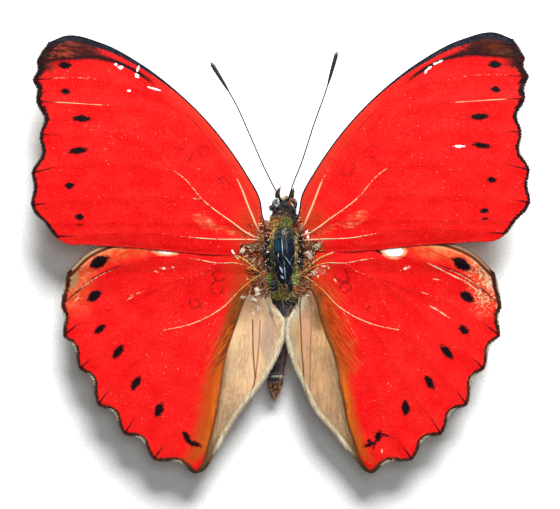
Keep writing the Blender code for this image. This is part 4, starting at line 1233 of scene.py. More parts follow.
def wing_under(kind):
    """Under face: rust-ochre like a dry leaf, with a dark line across and faint loops."""
    f = Finish(kind + "wing_under", 0.65, 0.2)
    span, reach, margin = f.fields("span", "reach", "margin")
    rough = f.noise(1.4, 4, 0.65) - 0.5
    if kind == "fore":
        across = span * 0.94 - reach * 0.16 - 17
    else:
        across = span * 0.72 - reach * 0.5 - 15.5
    across = across + rough * 0.5
    outer = across.rise(0.3, 4.5)
    second = (margin - 2.6 + rough * 0.8).size().rise(0.4, 0.1)
    leaf = f.layers(f.mix(f.noise(0.35, 4, 0.6).rise(0.35, 0.65), (176, 92, 44), (208, 128, 66)), [
        (f.noise(6, 3, 0.7).rise(0.5, 0.75) * 0.5, (140, 64, 34)),
        (outer * 0.45, (222, 156, 96)),
        (across.size().rise(0.42, 0.12), (84, 34, 20)),
        (second * 0.5, (110, 50, 30)),
        ((margin + rough * 0.5).rise(0.7, 0.3), (96, 48, 28)),
    ])
    f.colour(leaf)
    scale_relief(f)
    return f.material


def vein_finish():
    """Veins: red-scaled, golden or cream near the root, and black in spots and at the margin."""
    f = Finish("veins", 0.55, 0.12)
    rub, out, line, inner = f.fields("rub", "out", "line", "inner")
    span, reach = f.fields("span", "reach")
    patchy = f.noise(2.4, 4, 0.75)
    red = f.mix(f.noise(0.8, 3).rise(0.4, 0.7), (250, 14, 18), (255, 52, 42))
    golden = span.rise(7.2, 5.6) * reach.rise(0.6, 0.2)
    gold = f.mix(patchy.rise(0.4, 0.6), (186, 116, 50), (238, 178, 98))
    bare = f.mix(golden, (254, 206, 160), gold)
    root = span.rise(3.6, 2.6) * patchy.rise(0.3, 0.5)
    f.colour(f.layers(f.mix((patchy * 1.1 + rub * 0.56).rise(0.88, 1.04), red, bare), [
        (out.rise(2.5, 1.9) * 0.92, (60, 6, 10)),
        (line * span.rise(16.6, 18.6), (50, 8, 12)),
        (root * 0.8, (110, 58, 28)),
        ((f.field("ink") + patchy * 0.3).rise(0.3, 0.1), (14, 0, 8)),
        (inner, (112, 64, 40)),
    ]))
    f.bump(patchy, 0.03, 0.5)
    return f.material


def fringe_finish():
    """Fringe hairs: dark brown to cream, and red like the field along the forewing's rear edge."""
    f = Finish("fringe", 0.7, 0.15, sheen=0.1)
    tone, pale = f.fields("tone", "pale")
    dark = f.mix(tone, (40, 14, 8), (96, 54, 30))
    cream = f.mix(tone, (214, 192, 150), (250, 240, 216))
    red = f.mix(tone, (120, 8, 10), (232, 44, 28))
    f.colour(f.mix(pale.rise(-1.2, -1.6), f.mix(pale.rise(0.35, 0.6), dark, cream), red))
    f.bump(f.noise(12, 2), 0.01, 0.3)
    return f.material


# The body, from front to back: y, midline x, half width, bottom, top
BODY = [
    (7.62, 0.52, 0.25, 4.15, 4.85), (7.3, 0.52, 0.7, 3.75, 5.2), (6.7, 0.52, 0.92, 3.4, 5.45),
    (6.1, 0.5, 0.9, 3.45, 5.4), (5.65, 0.45, 0.95, 3.45, 5.25), (5.2, 0.42, 1.22, 3.1, 5.45),
    (4.7, 0.42, 1.38, 2.85, 5.68), (4.2, 0.42, 1.55, 2.6, 5.95), (3, 0.42, 1.95, 1.9, 6.6),
    (1.2, 0.42, 2.14, 1.55, 7.02), (-0.8, 0.42, 2.12, 1.5, 6.92), (-2.8, 0.42, 1.9, 1.6, 6.36),
    (-4.6, 0.42, 1.56, 1.9, 5.45), (-6, 0.42, 1.1, 2.45, 4.75), (-6.8, 0.45, 0.98, 2.5, 4.5),
    (-8.3, 0.42, 1.22, 2.05, 4.3), (-10.5, 0.25, 1.22, 1.75, 4.05), (-13.5, -0.18, 1.02, 1.5, 3.55),
    (-16.2, -0.55, 0.92, 1.35, 3.2), (-17.3, -0.68, 0.8, 1.35, 2.95), (-17.9, -0.74, 0.5, 1.5, 2.6),
    (-18.4, -0.78, 0.16, 1.7, 2)
]
BODY_ROWS = 420
BODY_SIDES = 96
SHIELD_X = 0.48
SEGMENT_FRONT = -7
SEGMENT_REAR = -17.6
SEGMENTS = 7

# Coloured patches of the body: x, y, half width, half length, turn, colour
BODY_PATCHES = [
    (1.5, 6.5, 1.1, 1, 0, (46, 34, 50)), (1.15, 6.95, 0.4, 0.55, 20, (112, 62, 40)),
    (1.6, 6.5, 0.09, 0.7, 28, (226, 196, 166)), (0.3, 6.85, 0.5, 0.5, 0, (24, 28, 66)),
    (0.35, 6.2, 0.6, 0.35, 0, (14, 18, 16)), (1.4, 7.3, 0.5, 0.4, 0, (150, 78, 44)),
    (-1.3, 5.9, 0.9, 0.9, 0, (56, 30, 34)), (0.3, 5.45, 1.1, 0.4, 0, (70, 42, 28)),
    (1.9, 5.5, 0.6, 0.7, 0, (44, 26, 34)), (-1.2, 4.1, 0.9, 1, 0, (158, 110, 22)),
    (-0.1, 4.6, 0.5, 0.4, 0, (150, 84, 24)), (0.7, 4.1, 0.9, 0.8, 0, (100, 102, 30)),
    (1.9, 4.1, 0.3, 1.8, 0, (26, 24, 36)), (2.4, 3.9, 0.25, 1.8, 0, (152, 128, 40)),
    (-1.35, 2.9, 0.55, 1, 0, (160, 120, 28)), (-1.4, 1.4, 0.5, 0.8, 0, (98, 100, 38)),
    (2.2, 1.2, 0.45, 2, 0, (140, 118, 40)), (-2.2, 0.8, 0.5, 1.1, 0, (120, 110, 86)),
    (-1.9, -1.2, 0.6, 1.5, 0, (44, 40, 26)), (-2, -3.1, 0.75, 0.8, 0, (104, 136, 52)),
    (2.1, -1.6, 0.55, 0.9, 0, (120, 108, 48)), (-1.6, -5.2, 0.9, 1, 0, (126, 134, 44)),
    (2.1, -4.2, 0.8, 1.9, 0, (126, 130, 46)), (2.1, -4.6, 0.4, 0.5, 0, (196, 96, 24)),
    (0.45, -4.7, 0.7, 0.5, 0, (108, 84, 30)), (0.4, -5.6, 1.2, 0.5, 0, (128, 110, 34)),
    (-0.9, -4.25, 0.42, 0.85, 0, (14, 22, 46)), (1.35, -4.2, 0.3, 0.8, 0, (12, 28, 40)),
    (0.2, -6.7, 1.6, 0.45, 0, (8, 28, 34)), (0.4, 2.3, 1.2, 1.25, 0, (30, 50, 40)),
    (0.27, 7.62, 0.34, 0.42, 0, (242, 220, 188))
]
# Painted highlights on the glossy plate: x, y, two half sizes and turn in degrees
SHIELD_PAINTED_HIGHLIGHTS = [
    (-0.33, -0.2, 0.07, 0.32, 0), (0.22, 0.8, 0.035, 1.05, 4.4), (0.97, -0.9, 0.038, 1.13, 36),
    (0.53, -2.16, 0.04, 1.27, 4.7), (0.08, -2.1, 0.13, 0.55, 26), (0.22, -3.1, 0.16, 0.34, 45),
    (1.58, -1.77, 0.07, 0.07, 0)
]


def shield_share(x, y, z):
    """1 on the bare, glossy plate of the back, 0 off it: a long oval pointed to the rear."""
    across = np.abs(x - SHIELD_X) / np.interp(y, [-3.9, -3.2, -1.5, 2.8, 3.8], [0.2, 0.9, 1.48, 1.36, 0.8])
    lengthwise = np.clip((y + 4) / 0.4, 0, 1) * np.clip((3.7 - y) / 0.6, 0, 1)
    return np.clip((1.1 - across) / 0.2, 0, 1) * lengthwise * (z > 5)


def body_surface(t, angle):
    """A point of the body's skin: rounded sections along Y, with segments and plates in relief.

    t runs from the face (0) to the tail (1), and the angle goes round from the right side
    over the back. Each abdomen ring swells towards its rear edge and steps in at the next.
    """
    table = np.array(BODY)
    y = table[0, 0] + t * (table[-1, 0] - table[0, 0])
    rows = read_curve(-table[:, 0], table, -y)
    squareness = 2.3
    cosine, sine = np.cos(angle), np.sin(angle)
    cosine = np.sign(cosine) * np.abs(cosine) ** (2 / squareness)
    sine = np.sign(sine) * np.abs(sine) ** (2 / squareness)
    ring = (SEGMENT_FRONT - y) / (SEGMENT_FRONT - SEGMENT_REAR) * SEGMENTS
    phase = ring - np.floor(ring)
    swell = np.where((ring > 0) & (ring < SEGMENTS), 0.07 * phase ** 1.5 - 0.02, 0)
    x = rows[:, 1] + rows[:, 2] * (1 + swell) * cosine
    middle = (rows[:, 3] + rows[:, 4]) / 2
    tall = (rows[:, 4] - rows[:, 3]) / 2
    z = middle + tall * (1 + swell) * sine
    bare = shield_share(x, y, z)
    suture = np.exp(-((x - SHIELD_X) / 0.09) ** 2) * np.clip(y + 1.5, 0, 1)
    notch = np.exp(-((y + 1.9 - np.abs(x - SHIELD_X) * 1.5) / 0.13) ** 2) * (np.abs(x - SHIELD_X) < 1.3)
    z = z + bare * (0.12 - 0.12 * suture - 0.2 * notch)
    return np.column_stack([x, y, z])


def body_normal(t, angle):
    """Outward normal of the skin, from the surface's own small differences."""
    step = 1e-3
    along = body_surface(np.clip(t + step, 0, 1), angle) - body_surface(np.clip(t - step, 0, 1), angle)
    around = body_surface(t, angle + step) - body_surface(t, angle - step)
    return unit(np.cross(around, along))


def body_colour(f):
    """Colours shared by the body's skin and hair, patch by patch, and its place in millimetres."""
    x, y, z = f.axes()
    rough = f.noise(2.2, 3, 0.6) - 0.5
    plan = f.node("ShaderNodeCombineXYZ", None, {0: x, 1: y})
    colour = f.mix(f.noise(1.3, 3).rise(0.4, 0.6), (44, 38, 20), (96, 80, 30))
    colour = zones(f, plan, colour, BODY_PATCHES, rough * 1.1)
    ring = (y - SEGMENT_FRONT) * (SEGMENTS / (SEGMENT_REAR - SEGMENT_FRONT))
    phase = ring - ring.math("FLOOR", ring)
    flank = (x - y * 0.114 - 1.22 + rough * 0.4).rise(0.35, 0.65)
    tail = f.mix(f.noise(3.4, 2, 0.6).rise(0.44, 0.54), (40, 24, 18), (176, 96, 36))
    tail = f.mix(f.noise(2.6, 2, 0.6).rise(0.58, 0.64), tail, (240, 214, 170))
    belly = f.layers(f.mix(f.noise(1.6, 3, 0.7).rise(0.36, 0.66), (10, 12, 22), (66, 72, 88)), [
        (phase.rise(0.84, 0.97) * 0.7, (150, 128, 104)),
        (flank * 0.8, (140, 96, 86)),
        ((y + 16.4).size().rise(0.22, 0.1) * 0.8, (196, 186, 172)),
        (z.rise(2.5, 1.8) * 0.8, (170, 138, 98)),
        ((y + rough * 0.6).rise(-17, -17.4), tail),
    ])
    return f.mix((y + rough * 0.6).rise(-6.7, -7.1), colour, belly), x, y


def make_body(finish):
    """One skin from face to tail, closed at both ends."""
    t = np.linspace(0, 1, BODY_ROWS)
    angle = np.linspace(0, 2 * math.pi, BODY_SIDES, endpoint=False)
    tt, aa = np.meshgrid(t, angle, indexing="ij")
    points = body_surface(tt.ravel(), aa.ravel())
    bare = shield_share(*points.T)
    rings = points.reshape(BODY_ROWS, BODY_SIDES, 3)
    points, quads, triangles = closed_tube(rings)
    bare = np.concatenate([bare, [0, 0]])
    uv = np.column_stack([0.02 + 0.96 * tt.ravel(), 0.02 + 0.96 * aa.ravel() / (2 * math.pi)])
    uv = np.vstack([uv, [(0.02, 0.5), (0.98, 0.5)]])
    piece = make_piece("body_skin", points, [quads, triangles], [finish], {"bare": bare}, uv, smooth=60)
    dress(piece, "thorax", "head", "prothorax", "thorax", "abdomen")


def body_finish():
    """Skin: glossy navy plate with seams, a painted teal highlight and painted white highlights, skin darker
    than its hair as painted shade under the fur (most of all on the thorax), slate abdomen, brown tail.
    """
    f = Finish("body_skin", 0.5, 0.5)
    colour, x, y = body_colour(f)
    bare = f.field("bare")
    # painted shade beneath the fur: the skin is drawn darker than its hair, most of all on the thorax
    colour = f.scaled(colour, y.rise(-6.6, -7.1) * 0.42 + 0.26)
    streak = f.noise(2.4, 3, 0.65, (1.5, 0.45, 1))
    here = f.node("ShaderNodeCombineXYZ", None, {0: x, 1: y})
    plate = f.mix(streak.rise(0.42, 0.62), (5, 8, 20), (12, 36, 60))
    aside = (x - SHIELD_X).size()
    seams = aside.rise(0.13, 0.05) * y.rise(-1.3, -0.9)
    seams = seams.most((y + 0.1 + aside * 1.6).size().rise(0.2, 0.07))
    seams = seams.most((aside - 0.95).size().rise(0.1, 0.04) * y.rise(-0.4, 0.2))
    # painted highlights: pale streaks on the plate
    painted_highlight = (f.blots(here, SHIELD_PAINTED_HIGHLIGHTS) + (streak - 0.5) * 0.08).rise(0.02, -0.03)
    # the teal patch at the plate's left front is a painted highlight
    plate = f.layers(zones(f, here, plate, [(-0.45, 1.1, 0.3, 0.9, 0, (20, 80, 110))], streak - 0.5), [
        (seams * 0.85, (3, 5, 12)),
        (painted_highlight * 0.95, (222, 234, 252)),
    ])
    f.colour(f.mix(bare, colour, plate))
    f.sockets(Roughness=0.62 - bare * 0.44 + streak * 0.06)
    f.bump(f.noise(5, 3, 0.6) * 0.3 + streak * 0.5 - seams * 0.8, 0.07, 0.8)
    return f.material


def fur_finish(name, low, high, glint, dark):
    """Hair whose colour runs from `low` to `high`, with some `glint` and some `dark` hairs."""
    f = Finish(name, 0.55, 0.3, sheen=0.25)
    tone, along = f.fields("tone", "along")
    patch = f.noise(0.9, 3)
    f.colour(f.layers(f.mix((tone * 0.6 + patch * 0.6).rise(0.35, 0.85), low, high), [
        (tone.rise(0.86, 0.92), glint),
        ((tone + patch * 0.2).rise(0.24, 0.16), dark),
        (along.rise(0.5, 0) * 0.5, dark),
    ]))
    f.bump(f.noise(14, 2), 0.01, 0.3)
    return f.material


def body_fur_finish(name):
    """Hair that takes the body's patch colours, each hair darker or lighter than the next."""
    f = Finish(name, 0.5, 0.3, sheen=0.15)
    tone, along = f.fields("tone", "along")
    colour, _, _ = body_colour(f)
    clump = f.noise(3, 2, 0.6).rise(0.42, 0.58)
    share = tone * 0.8 + clump * 1.5 + 0.08
    colour = f.scaled(colour, share * (along * 0.5 + 0.6))
    f.colour(f.mix(tone.rise(0.93, 0.96) * 0.8, colour, (226, 190, 132)))
    f.bump(f.noise(14, 2), 0.01, 0.3)
    return f.material


def body_tufts(rng, count, window, length, width, lift, drift, sweep, clear):
    """Hairs over a window of the body's skin, swept one way and standing by `lift`."""
    y_front, y_rear, low_angle, high_angle = window
    table = np.array(BODY)
    y = rng.uniform(y_rear, y_front, count)
    t = (y - table[0, 0]) / (table[-1, 0] - table[0, 0])
    angle = np.radians(rng.uniform(low_angle, high_angle, count))
    roots = body_surface(t, angle)
    normal = body_normal(t, angle)
    if clear:
        chosen = 1 - shield_share(*roots.T) > rng.uniform(0, 1, count)
        roots, normal, t, angle = roots[chosen], normal[chosen], t[chosen], angle[chosen]
    count = len(roots)
    swept = np.tile(sweep, (count, 1)) + rng.normal(0, drift, (count, 3))
    swept[:, 0] += np.sign(roots[:, 0] - BODY_X) * 0.5
    lean = unit(swept - normal * (swept * normal).sum(axis=1)[:, None]) + normal * lift
    sizes = length * rng.uniform(0.6, 1.25, count)
    uv = np.column_stack([0.02 + 0.96 * t, 0.02 + 0.96 * np.mod(angle / (2 * math.pi), 1)])
    return tufts(roots - normal * 0.03, lean, square_to(lean, normal), sizes, width,
                 rng.uniform(0.05, 0.35, count), uv, {"tone": rng.uniform(0, 1, count)})


# Bundles of each coat: hairs, window (front and rear y, angles in degrees), length, width, lift,
# scatter, sweep, and whether the bare plate stays clear
BACK, AHEAD = (0, -1, 0), (-0.2, 1, 0.2)
RIGHTWARD, LEFTWARD = (1, -0.6, 0.15), (-1, -0.6, 0.15)
COATS = {
    "thorax": [
        (9000, (4.4, -6.6, -20, 200), 0.6, 0.04, 0.3, 0.45, BACK, True),
        (2200, (4.4, -6.4, -10, 190), 0.9, 0.085, 0.5, 0.6, BACK, True),
        (4500, (4.2, -6.4, 200, 340), 1, 0.04, 0.3, 0.3, BACK, False),
        (260, (0.4, -3.4, 20, 70), 0.7, 0.075, 0.5, 0.45, RIGHTWARD, True),
        (260, (0.4, -3.4, 110, 160), 0.7, 0.075, 0.5, 0.45, LEFTWARD, True),
        (260, (-1.8, -4.4, 30, 75), 1.1, 0.08, 0.6, 0.45, RIGHTWARD, True),
        (260, (-1.8, -4.4, 105, 150), 1.1, 0.08, 0.6, 0.45, LEFTWARD, True),
        (480, (-2.8, -6.3, 30, 75), 1.4, 0.085, 0.6, 0.4, RIGHTWARD, True),
        (480, (-2.8, -6.3, 105, 150), 1.4, 0.085, 0.6, 0.4, LEFTWARD, True),
        (560, (3.9, 2.2, 50, 130), 0.45, 0.045, 0.4, 0.5, BACK, False),
    ],
    "collar": [
        (2800, (6, 4, -40, 220), 0.7, 0.055, 0.7, 0.6, BACK, False),
        (900, (6.2, 3.4, -40, 55), 1.15, 0.075, 0.45, 0.45, (1, -0.2, 0.1), False),
        (900, (6, 3.4, 125, 220), 0.95, 0.075, 0.5, 0.5, (-1, -0.3, 0.1), False),
        (380, (5.6, 4.2, -30, 210), 1, 0.085, 0.7, 0.8, BACK, False),
    ],
    "head": [
        (1800, (7.4, 5.7, 0, 360), 0.45, 0.035, 0.8, 0.6, BACK, False),
        (300, (7.2, 5.8, 35, 80), 0.85, 0.07, 0.7, 0.35, (1, -0.1, 0.1), False),
        (240, (6, 5.1, 120, 190), 0.85, 0.07, 0.5, 0.35, (-1, -0.3, 0.1), False),
        (70, (7.6, 7.2, 60, 140), 0.5, 0.06, 0.5, 0.25, AHEAD, False),
    ],
    "abdomen": [
        (5000, (-6.8, -17.6, 0, 360), 0.4, 0.022, 0.14, 0.2, BACK, False),
        (420, (-16, -17.6, 0, 360), 0.9, 0.045, 0.3, 0.35, BACK, False),
    ],
}


def make_body_fur(rng):
    """Shaggy mottled fur of the thorax, spiky collar, head hair and a thin abdomen coat."""
    for part, rows in COATS.items():
        bundles = [body_tufts(rng, *row) for row in rows]
        slot = "thorax" if part == "collar" else part
        lay_coat(f"{part}_fur", bundles, body_fur_finish(f"{part}_fur"), slot)


# Claspers at the tail: the points of each middle line
CLASPERS = {
    "left": [(-1.26, -16.9, 2.4), (-1.35, -17.9, 2.35), (-1.12, -18.8, 2.25), (-0.86, -19.5, 2.05)],
    "right": [(-0.24, -16.9, 2.4), (-0.18, -17.8, 2.35), (-0.44, -18.6, 2.25), (-0.74, -19.3, 2.05)],
}


def make_claspers(rng, finish, coat):
    """Blunt furred lobes on either side of the tail's end."""
    for side, knots in CLASPERS.items():
        path = smooth_path(knots, 0.05)
        share = np.linspace(0, 1, len(path))
        radius = np.interp(share, [0, 0.35, 0.85, 1], [0.26, 0.33, 0.17, 0.05])
        rings = tube_rings(path, radius, radius * 1.3, 20)
        bare = ring_field(np.zeros(len(path)), 20)
        make_tube(f"clasper_{side}", rings, finish, "abdomen", fields={"bare": bare})
        hairs = around_path(rng, path, radius, 260, 0.4, 0.035, 0.25)
        lay_coat(f"clasper_{side}_fur", [hairs], coat, "abdomen")


# The dull shoulder pads, and the glossy plates of the wing hinges, given for the right side:
# x, y, z, half sizes and turn in plan
SHOULDERS = {
    "left": (2.72, 3.9, 6.35, 0.34, 0.72, 0.14, -8),
    "right": (2.72, 3.45, 6.35, 0.34, 0.75, 0.14, -14),
}
HINGE_PLATES = [
    (2.75, 2.25, 6.45, 0.2, 0.3, 0.18, 20), (2.55, 1.7, 6.45, 0.3, 0.2, 0.16, 0),
    (2.75, 1.2, 6.4, 0.16, 0.3, 0.2, -20), (3.05, 0.75, 6.42, 0.12, 0.3, 0.14, 25),
    (2.6, 0.1, 6.2, 0.24, 0.42, 0.2, 8), (2.95, -0.25, 6, 0.13, 0.42, 0.2, -6),
    (2.5, -0.9, 5.9, 0.22, 0.42, 0.2, -15), (2.85, -1.3, 5.8, 0.16, 0.4, 0.18, 10),
    (2.5, -1.9, 5.7, 0.18, 0.34, 0.18, 0)
]


def hinge_finish():
    """Hinge plates: glossy blue-black with painted pale highlights, and a dull brown shoulder pad in front.
    """
    f = Finish("hinge_plates", 0.16, 0.5)
    x, y, z = f.axes()
    cloud = f.noise(2.6, 3, 0.6)
    colour = f.mix(cloud.rise(0.55, 0.6), (6, 7, 16), (70, 76, 100))
    # pale blotches: painted highlights
    colour = f.mix(cloud.rise(0.6, 0.64), colour, (228, 222, 230))
    pad = f.mix(cloud.rise(0.36, 0.56), (84, 38, 26), (164, 94, 70))
    f.colour(f.mix((y + cloud * 0.4).rise(2.7, 2.9), colour, pad))
    f.sockets(Roughness=y.rise(2.6, 2.9) * 0.5 + 0.14)
    f.bump(cloud, 0.05, 0.6)
    return f.material


def make_hinges(finish):
    """Small domed plates beside the thorax, where each wing joins the body."""
    polar = np.linspace(0.05, math.pi - 0.05, 12)
    around = np.linspace(0, 2 * math.pi, 16, endpoint=False)
    pp, aa = np.meshgrid(polar, around, indexing="ij")
    ball = np.stack([np.sin(pp) * np.cos(aa), np.sin(pp) * np.sin(aa), np.cos(pp)], axis=2)
    for side, sign in (("left", -1), ("right", 1)):
        parts = []
        for x, y, z, wide, long, tall, turn in [SHOULDERS[side], *HINGE_PLATES]:
            turned = math.radians(turn)
            scaled = ball * np.array([wide, long, tall])
            rings = np.stack([scaled[:, :, 0] * math.cos(turned) - scaled[:, :, 1] * math.sin(turned),
                              scaled[:, :, 0] * math.sin(turned) + scaled[:, :, 1] * math.cos(turned),
                              scaled[:, :, 2]], axis=2)
            rings[:, :, 0] *= sign
            centre = np.array([sign * (x - BODY_X) + BODY_X, y, z])
            rings = rings[:, ::-1] if sign > 0 else rings
            points, quads, triangles = closed_tube(rings + centre)
            parts.append((points, quads, triangles, {}))
        points, quads, triangles, _ = join(parts)
        dress(make_piece(f"hinge_plates_{side}", points, [quads, triangles], [finish]), "thorax")


HEAD = np.array([0.52, 6.7, 4.5])
EYE_RADII = np.array([0.86, 0.89, 0.95])
EYE_OUT = 0.9


def make_eyes(rng, finish, coat):
    """Bulging compound eyes, whose facets are the finish's relief; long fur lies over the right."""
    for side, sign in (("left", -1), ("right", 1)):
        centre = HEAD + np.array([sign * EYE_OUT, 0, 0])
        polar = np.linspace(0.02, math.pi - 0.02, 60)
        angle = np.linspace(0, 2 * math.pi, 80, endpoint=False)
        pp, aa = np.meshgrid(polar, angle, indexing="ij")
        unit_points = np.stack([np.cos(pp), np.sin(pp) * np.cos(aa), np.sin(pp) * np.sin(aa)], axis=2)
        points, quads, triangles = closed_tube((unit_points * EYE_RADII + centre)[::-1])
        uv = np.column_stack([aa[::-1].ravel() / (2 * math.pi), pp[::-1].ravel() / math.pi])
        uv = np.vstack([uv, [(0.5, 0), (0.5, 1)]])
        off_axis = (points - centre) / EYE_RADII
        # glint places a painted highlight, shown on the left eye
        held = {"ring": np.linalg.norm((off_axis[:, :2] - np.array([0.22 * sign, 0.3])) * (1.25, 1), axis=1),
                "glint": np.linalg.norm(off_axis[:, :2] - np.array([-0.22, -0.29]), axis=1)}
        held["pale"] = np.full(len(points), 1 if side == "left" else 0.05)
        piece = make_piece(f"eye_{side}_facets", points, [quads, triangles], [finish], held, uv)
        dress(piece, "eye", f"eye_{side}")
        count, reach = (300, (1.2, 2.3)) if side == "right" else (220, (2, 3))
        around = rng.uniform(*reach, count)
        lengthwise = rng.uniform(-1, 0.75 if side == "right" else -0.2, count)
        out = np.sqrt(1 - lengthwise ** 2)
        normal = np.column_stack([sign * np.cos(around) * out, lengthwise, np.sin(around) * out])
        if side == "left":
            normal[:, 0] = -np.abs(np.cos(around) * out)
        lean = normal * 0.35 + np.array([0.75 * sign, -0.55, 0]) + rng.normal(0, 0.3, (count, 3))
        place = np.column_stack([0.02 + 0.15 * around, 0.5 + 0.4 * lengthwise])
        hairs = tufts(centre + normal * EYE_RADII * 0.97, lean, square_to(lean, normal),
                      0.62 * rng.uniform(0.6, 1.2, count), 0.06, rng.uniform(0.05, 0.3, count), place,
                      {"tone": rng.uniform(0, 1, count)})
        lay_coat(f"eye_{side}_lashes", [hairs], coat, "head")


def eye_finish():
    """Glossy dark eye with fine facets: a pale ring about a grey-green middle, and a painted white highlight.
    """
    f = Finish("compound_eye", 0.16, 0.5, coat=0.5)
    blotch = f.noise(1.6, 3) - 0.5
    ring, pale = f.field("ring") + blotch * 0.12, f.field("pale")
    facet = f.cells(16)
    f.colour(f.layers(f.mix(pale, (22, 24, 40), (88, 100, 94)), [
        (ring.rise(0.42, 0.5) * pale, (196, 206, 214)),
        (ring.rise(0.58, 0.68), (30, 28, 40)),
        # painted highlight
        (f.field("glint").rise(0.27, 0.19) * pale, (252, 250, 255)),
        (facet.rise(0.3, 0.6) * 0.4, (18, 14, 18)),
    ]))
    f.bump(1 - facet, 0.02, 0.5)
    return f.material


ANTENNA = {
    "left": [
        (0.2, 6.8, 5), (-0.1, 7.4, 5.6), (-0.9, 8.9, 6.1), (-2.2, 11.5, 6.4), (-4.1, 15.8, 6.7),
        (-5.8, 19.6, 6.8), (-9.3, 25.5, 6.9)
    ],
    "right": [
        (0.8, 6.8, 5), (1.05, 7.4, 5.6), (1.5, 8.9, 6.1), (2.7, 12, 6.4), (4.4, 17.2, 6.7),
        (6, 21.7, 6.8), (7.5, 26.9, 6.9)
    ],
}
SHAFT = 0.095
CLUB = 0.28
CLUB_LENGTH = 4.6
JOINT_LENGTH = 0.42


def make_antennae(finish):
    """Slender jointed shafts, each joint a low barrel, swelling into a long club."""
    for side, knots in ANTENNA.items():
        path = smooth_path(knots, 0.06)
        steps = travelled(path)
        to_tip = steps[-1] - steps
        club = np.clip(1 - to_tip / CLUB_LENGTH, 0, 1)
        radius = SHAFT + (CLUB - SHAFT) * np.sin(math.pi * 0.6 * club ** 0.8)
        radius *= np.sqrt(np.clip(to_tip / 0.45, 0.05, 1))
        radius *= 1 + 0.09 * np.sin(math.pi * np.mod(steps / JOINT_LENGTH, 1)) - 0.05
        base = np.clip(1 - np.abs(steps - 0.75) / 0.35, 0, 1)
        radius += 0.07 * base
        held = {"along": np.concatenate([np.repeat(steps / steps[-1], 14), [0, 1]]),
                "joint": np.concatenate([np.repeat(steps / JOINT_LENGTH, 14), [0, 1]])}
        make_tube(f"antenna_{side}_joints", tube_rings(path, radius, radius, 14), finish, "antenna",
                  f"antenna_{side}", fields=held)


def horn_finish():
    """Black-brown antenna with paler rings between its joints and a browner tip."""
    f = Finish("antenna", 0.42, 0.4)
    along, joint = f.fields("along", "joint")
    ring = joint - joint.math("FLOOR", joint)
    f.colour(f.layers(f.mix(f.noise(3, 3).rise(0.4, 0.7), (16, 12, 14), (40, 30, 28)), [
        (ring.rise(0.15, 0) * 0.3, (90, 86, 90)),
        (along.rise(0.97, 1), (92, 52, 28)),
    ]))
    f.bump(f.noise(9, 3), 0.015, 0.5)
    return f.material


PALP_TIP = {"left": (-0.08, 8.95, 4.75), "right": (1.7, 8.72, 4.7)}


def make_palps(rng, core, coat):
    """Furred feelers in front of the face: broad at the base and drawn out to a sharp point."""
    for side, sign in (("left", -1), ("right", 1)):
        x, y, z = HEAD
        knots = [(x + sign * 0.35, y + 0.2, z - 0.95), (x + sign * 0.75, y + 0.7, z - 0.95),
                 (x + sign * 0.95, y + 1.2, z - 0.4), PALP_TIP[side]]
        path = smooth_path(knots, 0.06)
        share = np.linspace(0, 1, len(path))
        radius = np.interp(share, [0, 0.35, 0.6, 0.85, 1], [0.28, 0.32, 0.2, 0.08, 0.02])
        rings = tube_rings(path, radius, radius, 16)
        make_tube(f"palp_{side}_core", rings, core, "palp", f"palp_{side}")
        hairs = [around_path(rng, path, radius, 1000, 0.42, 0.035, 0.3, (0.02, 0.8)),
                 around_path(rng, path, radius, 240, 0.3, 0.025, 0.12, (0.75, 0.97))]
        lay_coat(f"palp_{side}_fur", hairs, coat, "palp")


def make_tongue(finish):
    """Rolled tongue under the face: a fine ribbed tube wound on itself."""
    x, y, z = HEAD
    turn = np.radians(np.linspace(100, -620, 260))
    reach = np.linspace(0.62, 0.2, len(turn))
    path = np.column_stack([np.full(len(turn), x), y + 0.45 + reach * np.cos(turn),
                            z - 1.72 + reach * np.sin(turn)])
    share = np.linspace(0, 1, len(turn))
    radius = (0.1 - 0.05 * share) * (1 + 0.06 * np.sin(share * 500))
    rings = tube_rings(path, radius, radius, 12, (1, 0, 0))
    make_tube("tongue_roll", rings, finish, "proboscis", "proboscis")


def plain_horn(name, dark, light, roughness):
    """Hard skin of a leg, palp or tongue: two close tones, and a fine grain."""
    f = Finish(name, roughness, 0.4)
    cloud = f.noise(1.6, 4, 0.6)
    f.colour(f.mix(cloud.rise(0.35, 0.7), dark, light))
    f.bump(f.noise(8, 3), 0.02, 0.5)
    return f.material


LEGS = {
    "foreleg": [(0.55, 4.95, 2.9), (0.95, 5.5, 1.6), (0.85, 6.5, 2.3), (0.8, 7, 2.5)],
    "midleg": [(1.1, 1.4, 2), (5, 3.2, 3.5), (8.6, 5.2, 0.5), (11.4, 6.8, 0.17)],
    "hindleg": [(1, -2.4, 2), (4.5, -4.8, 3.3), (7.4, -8.4, 0.5), (9, -11.2, 0.17)],
}


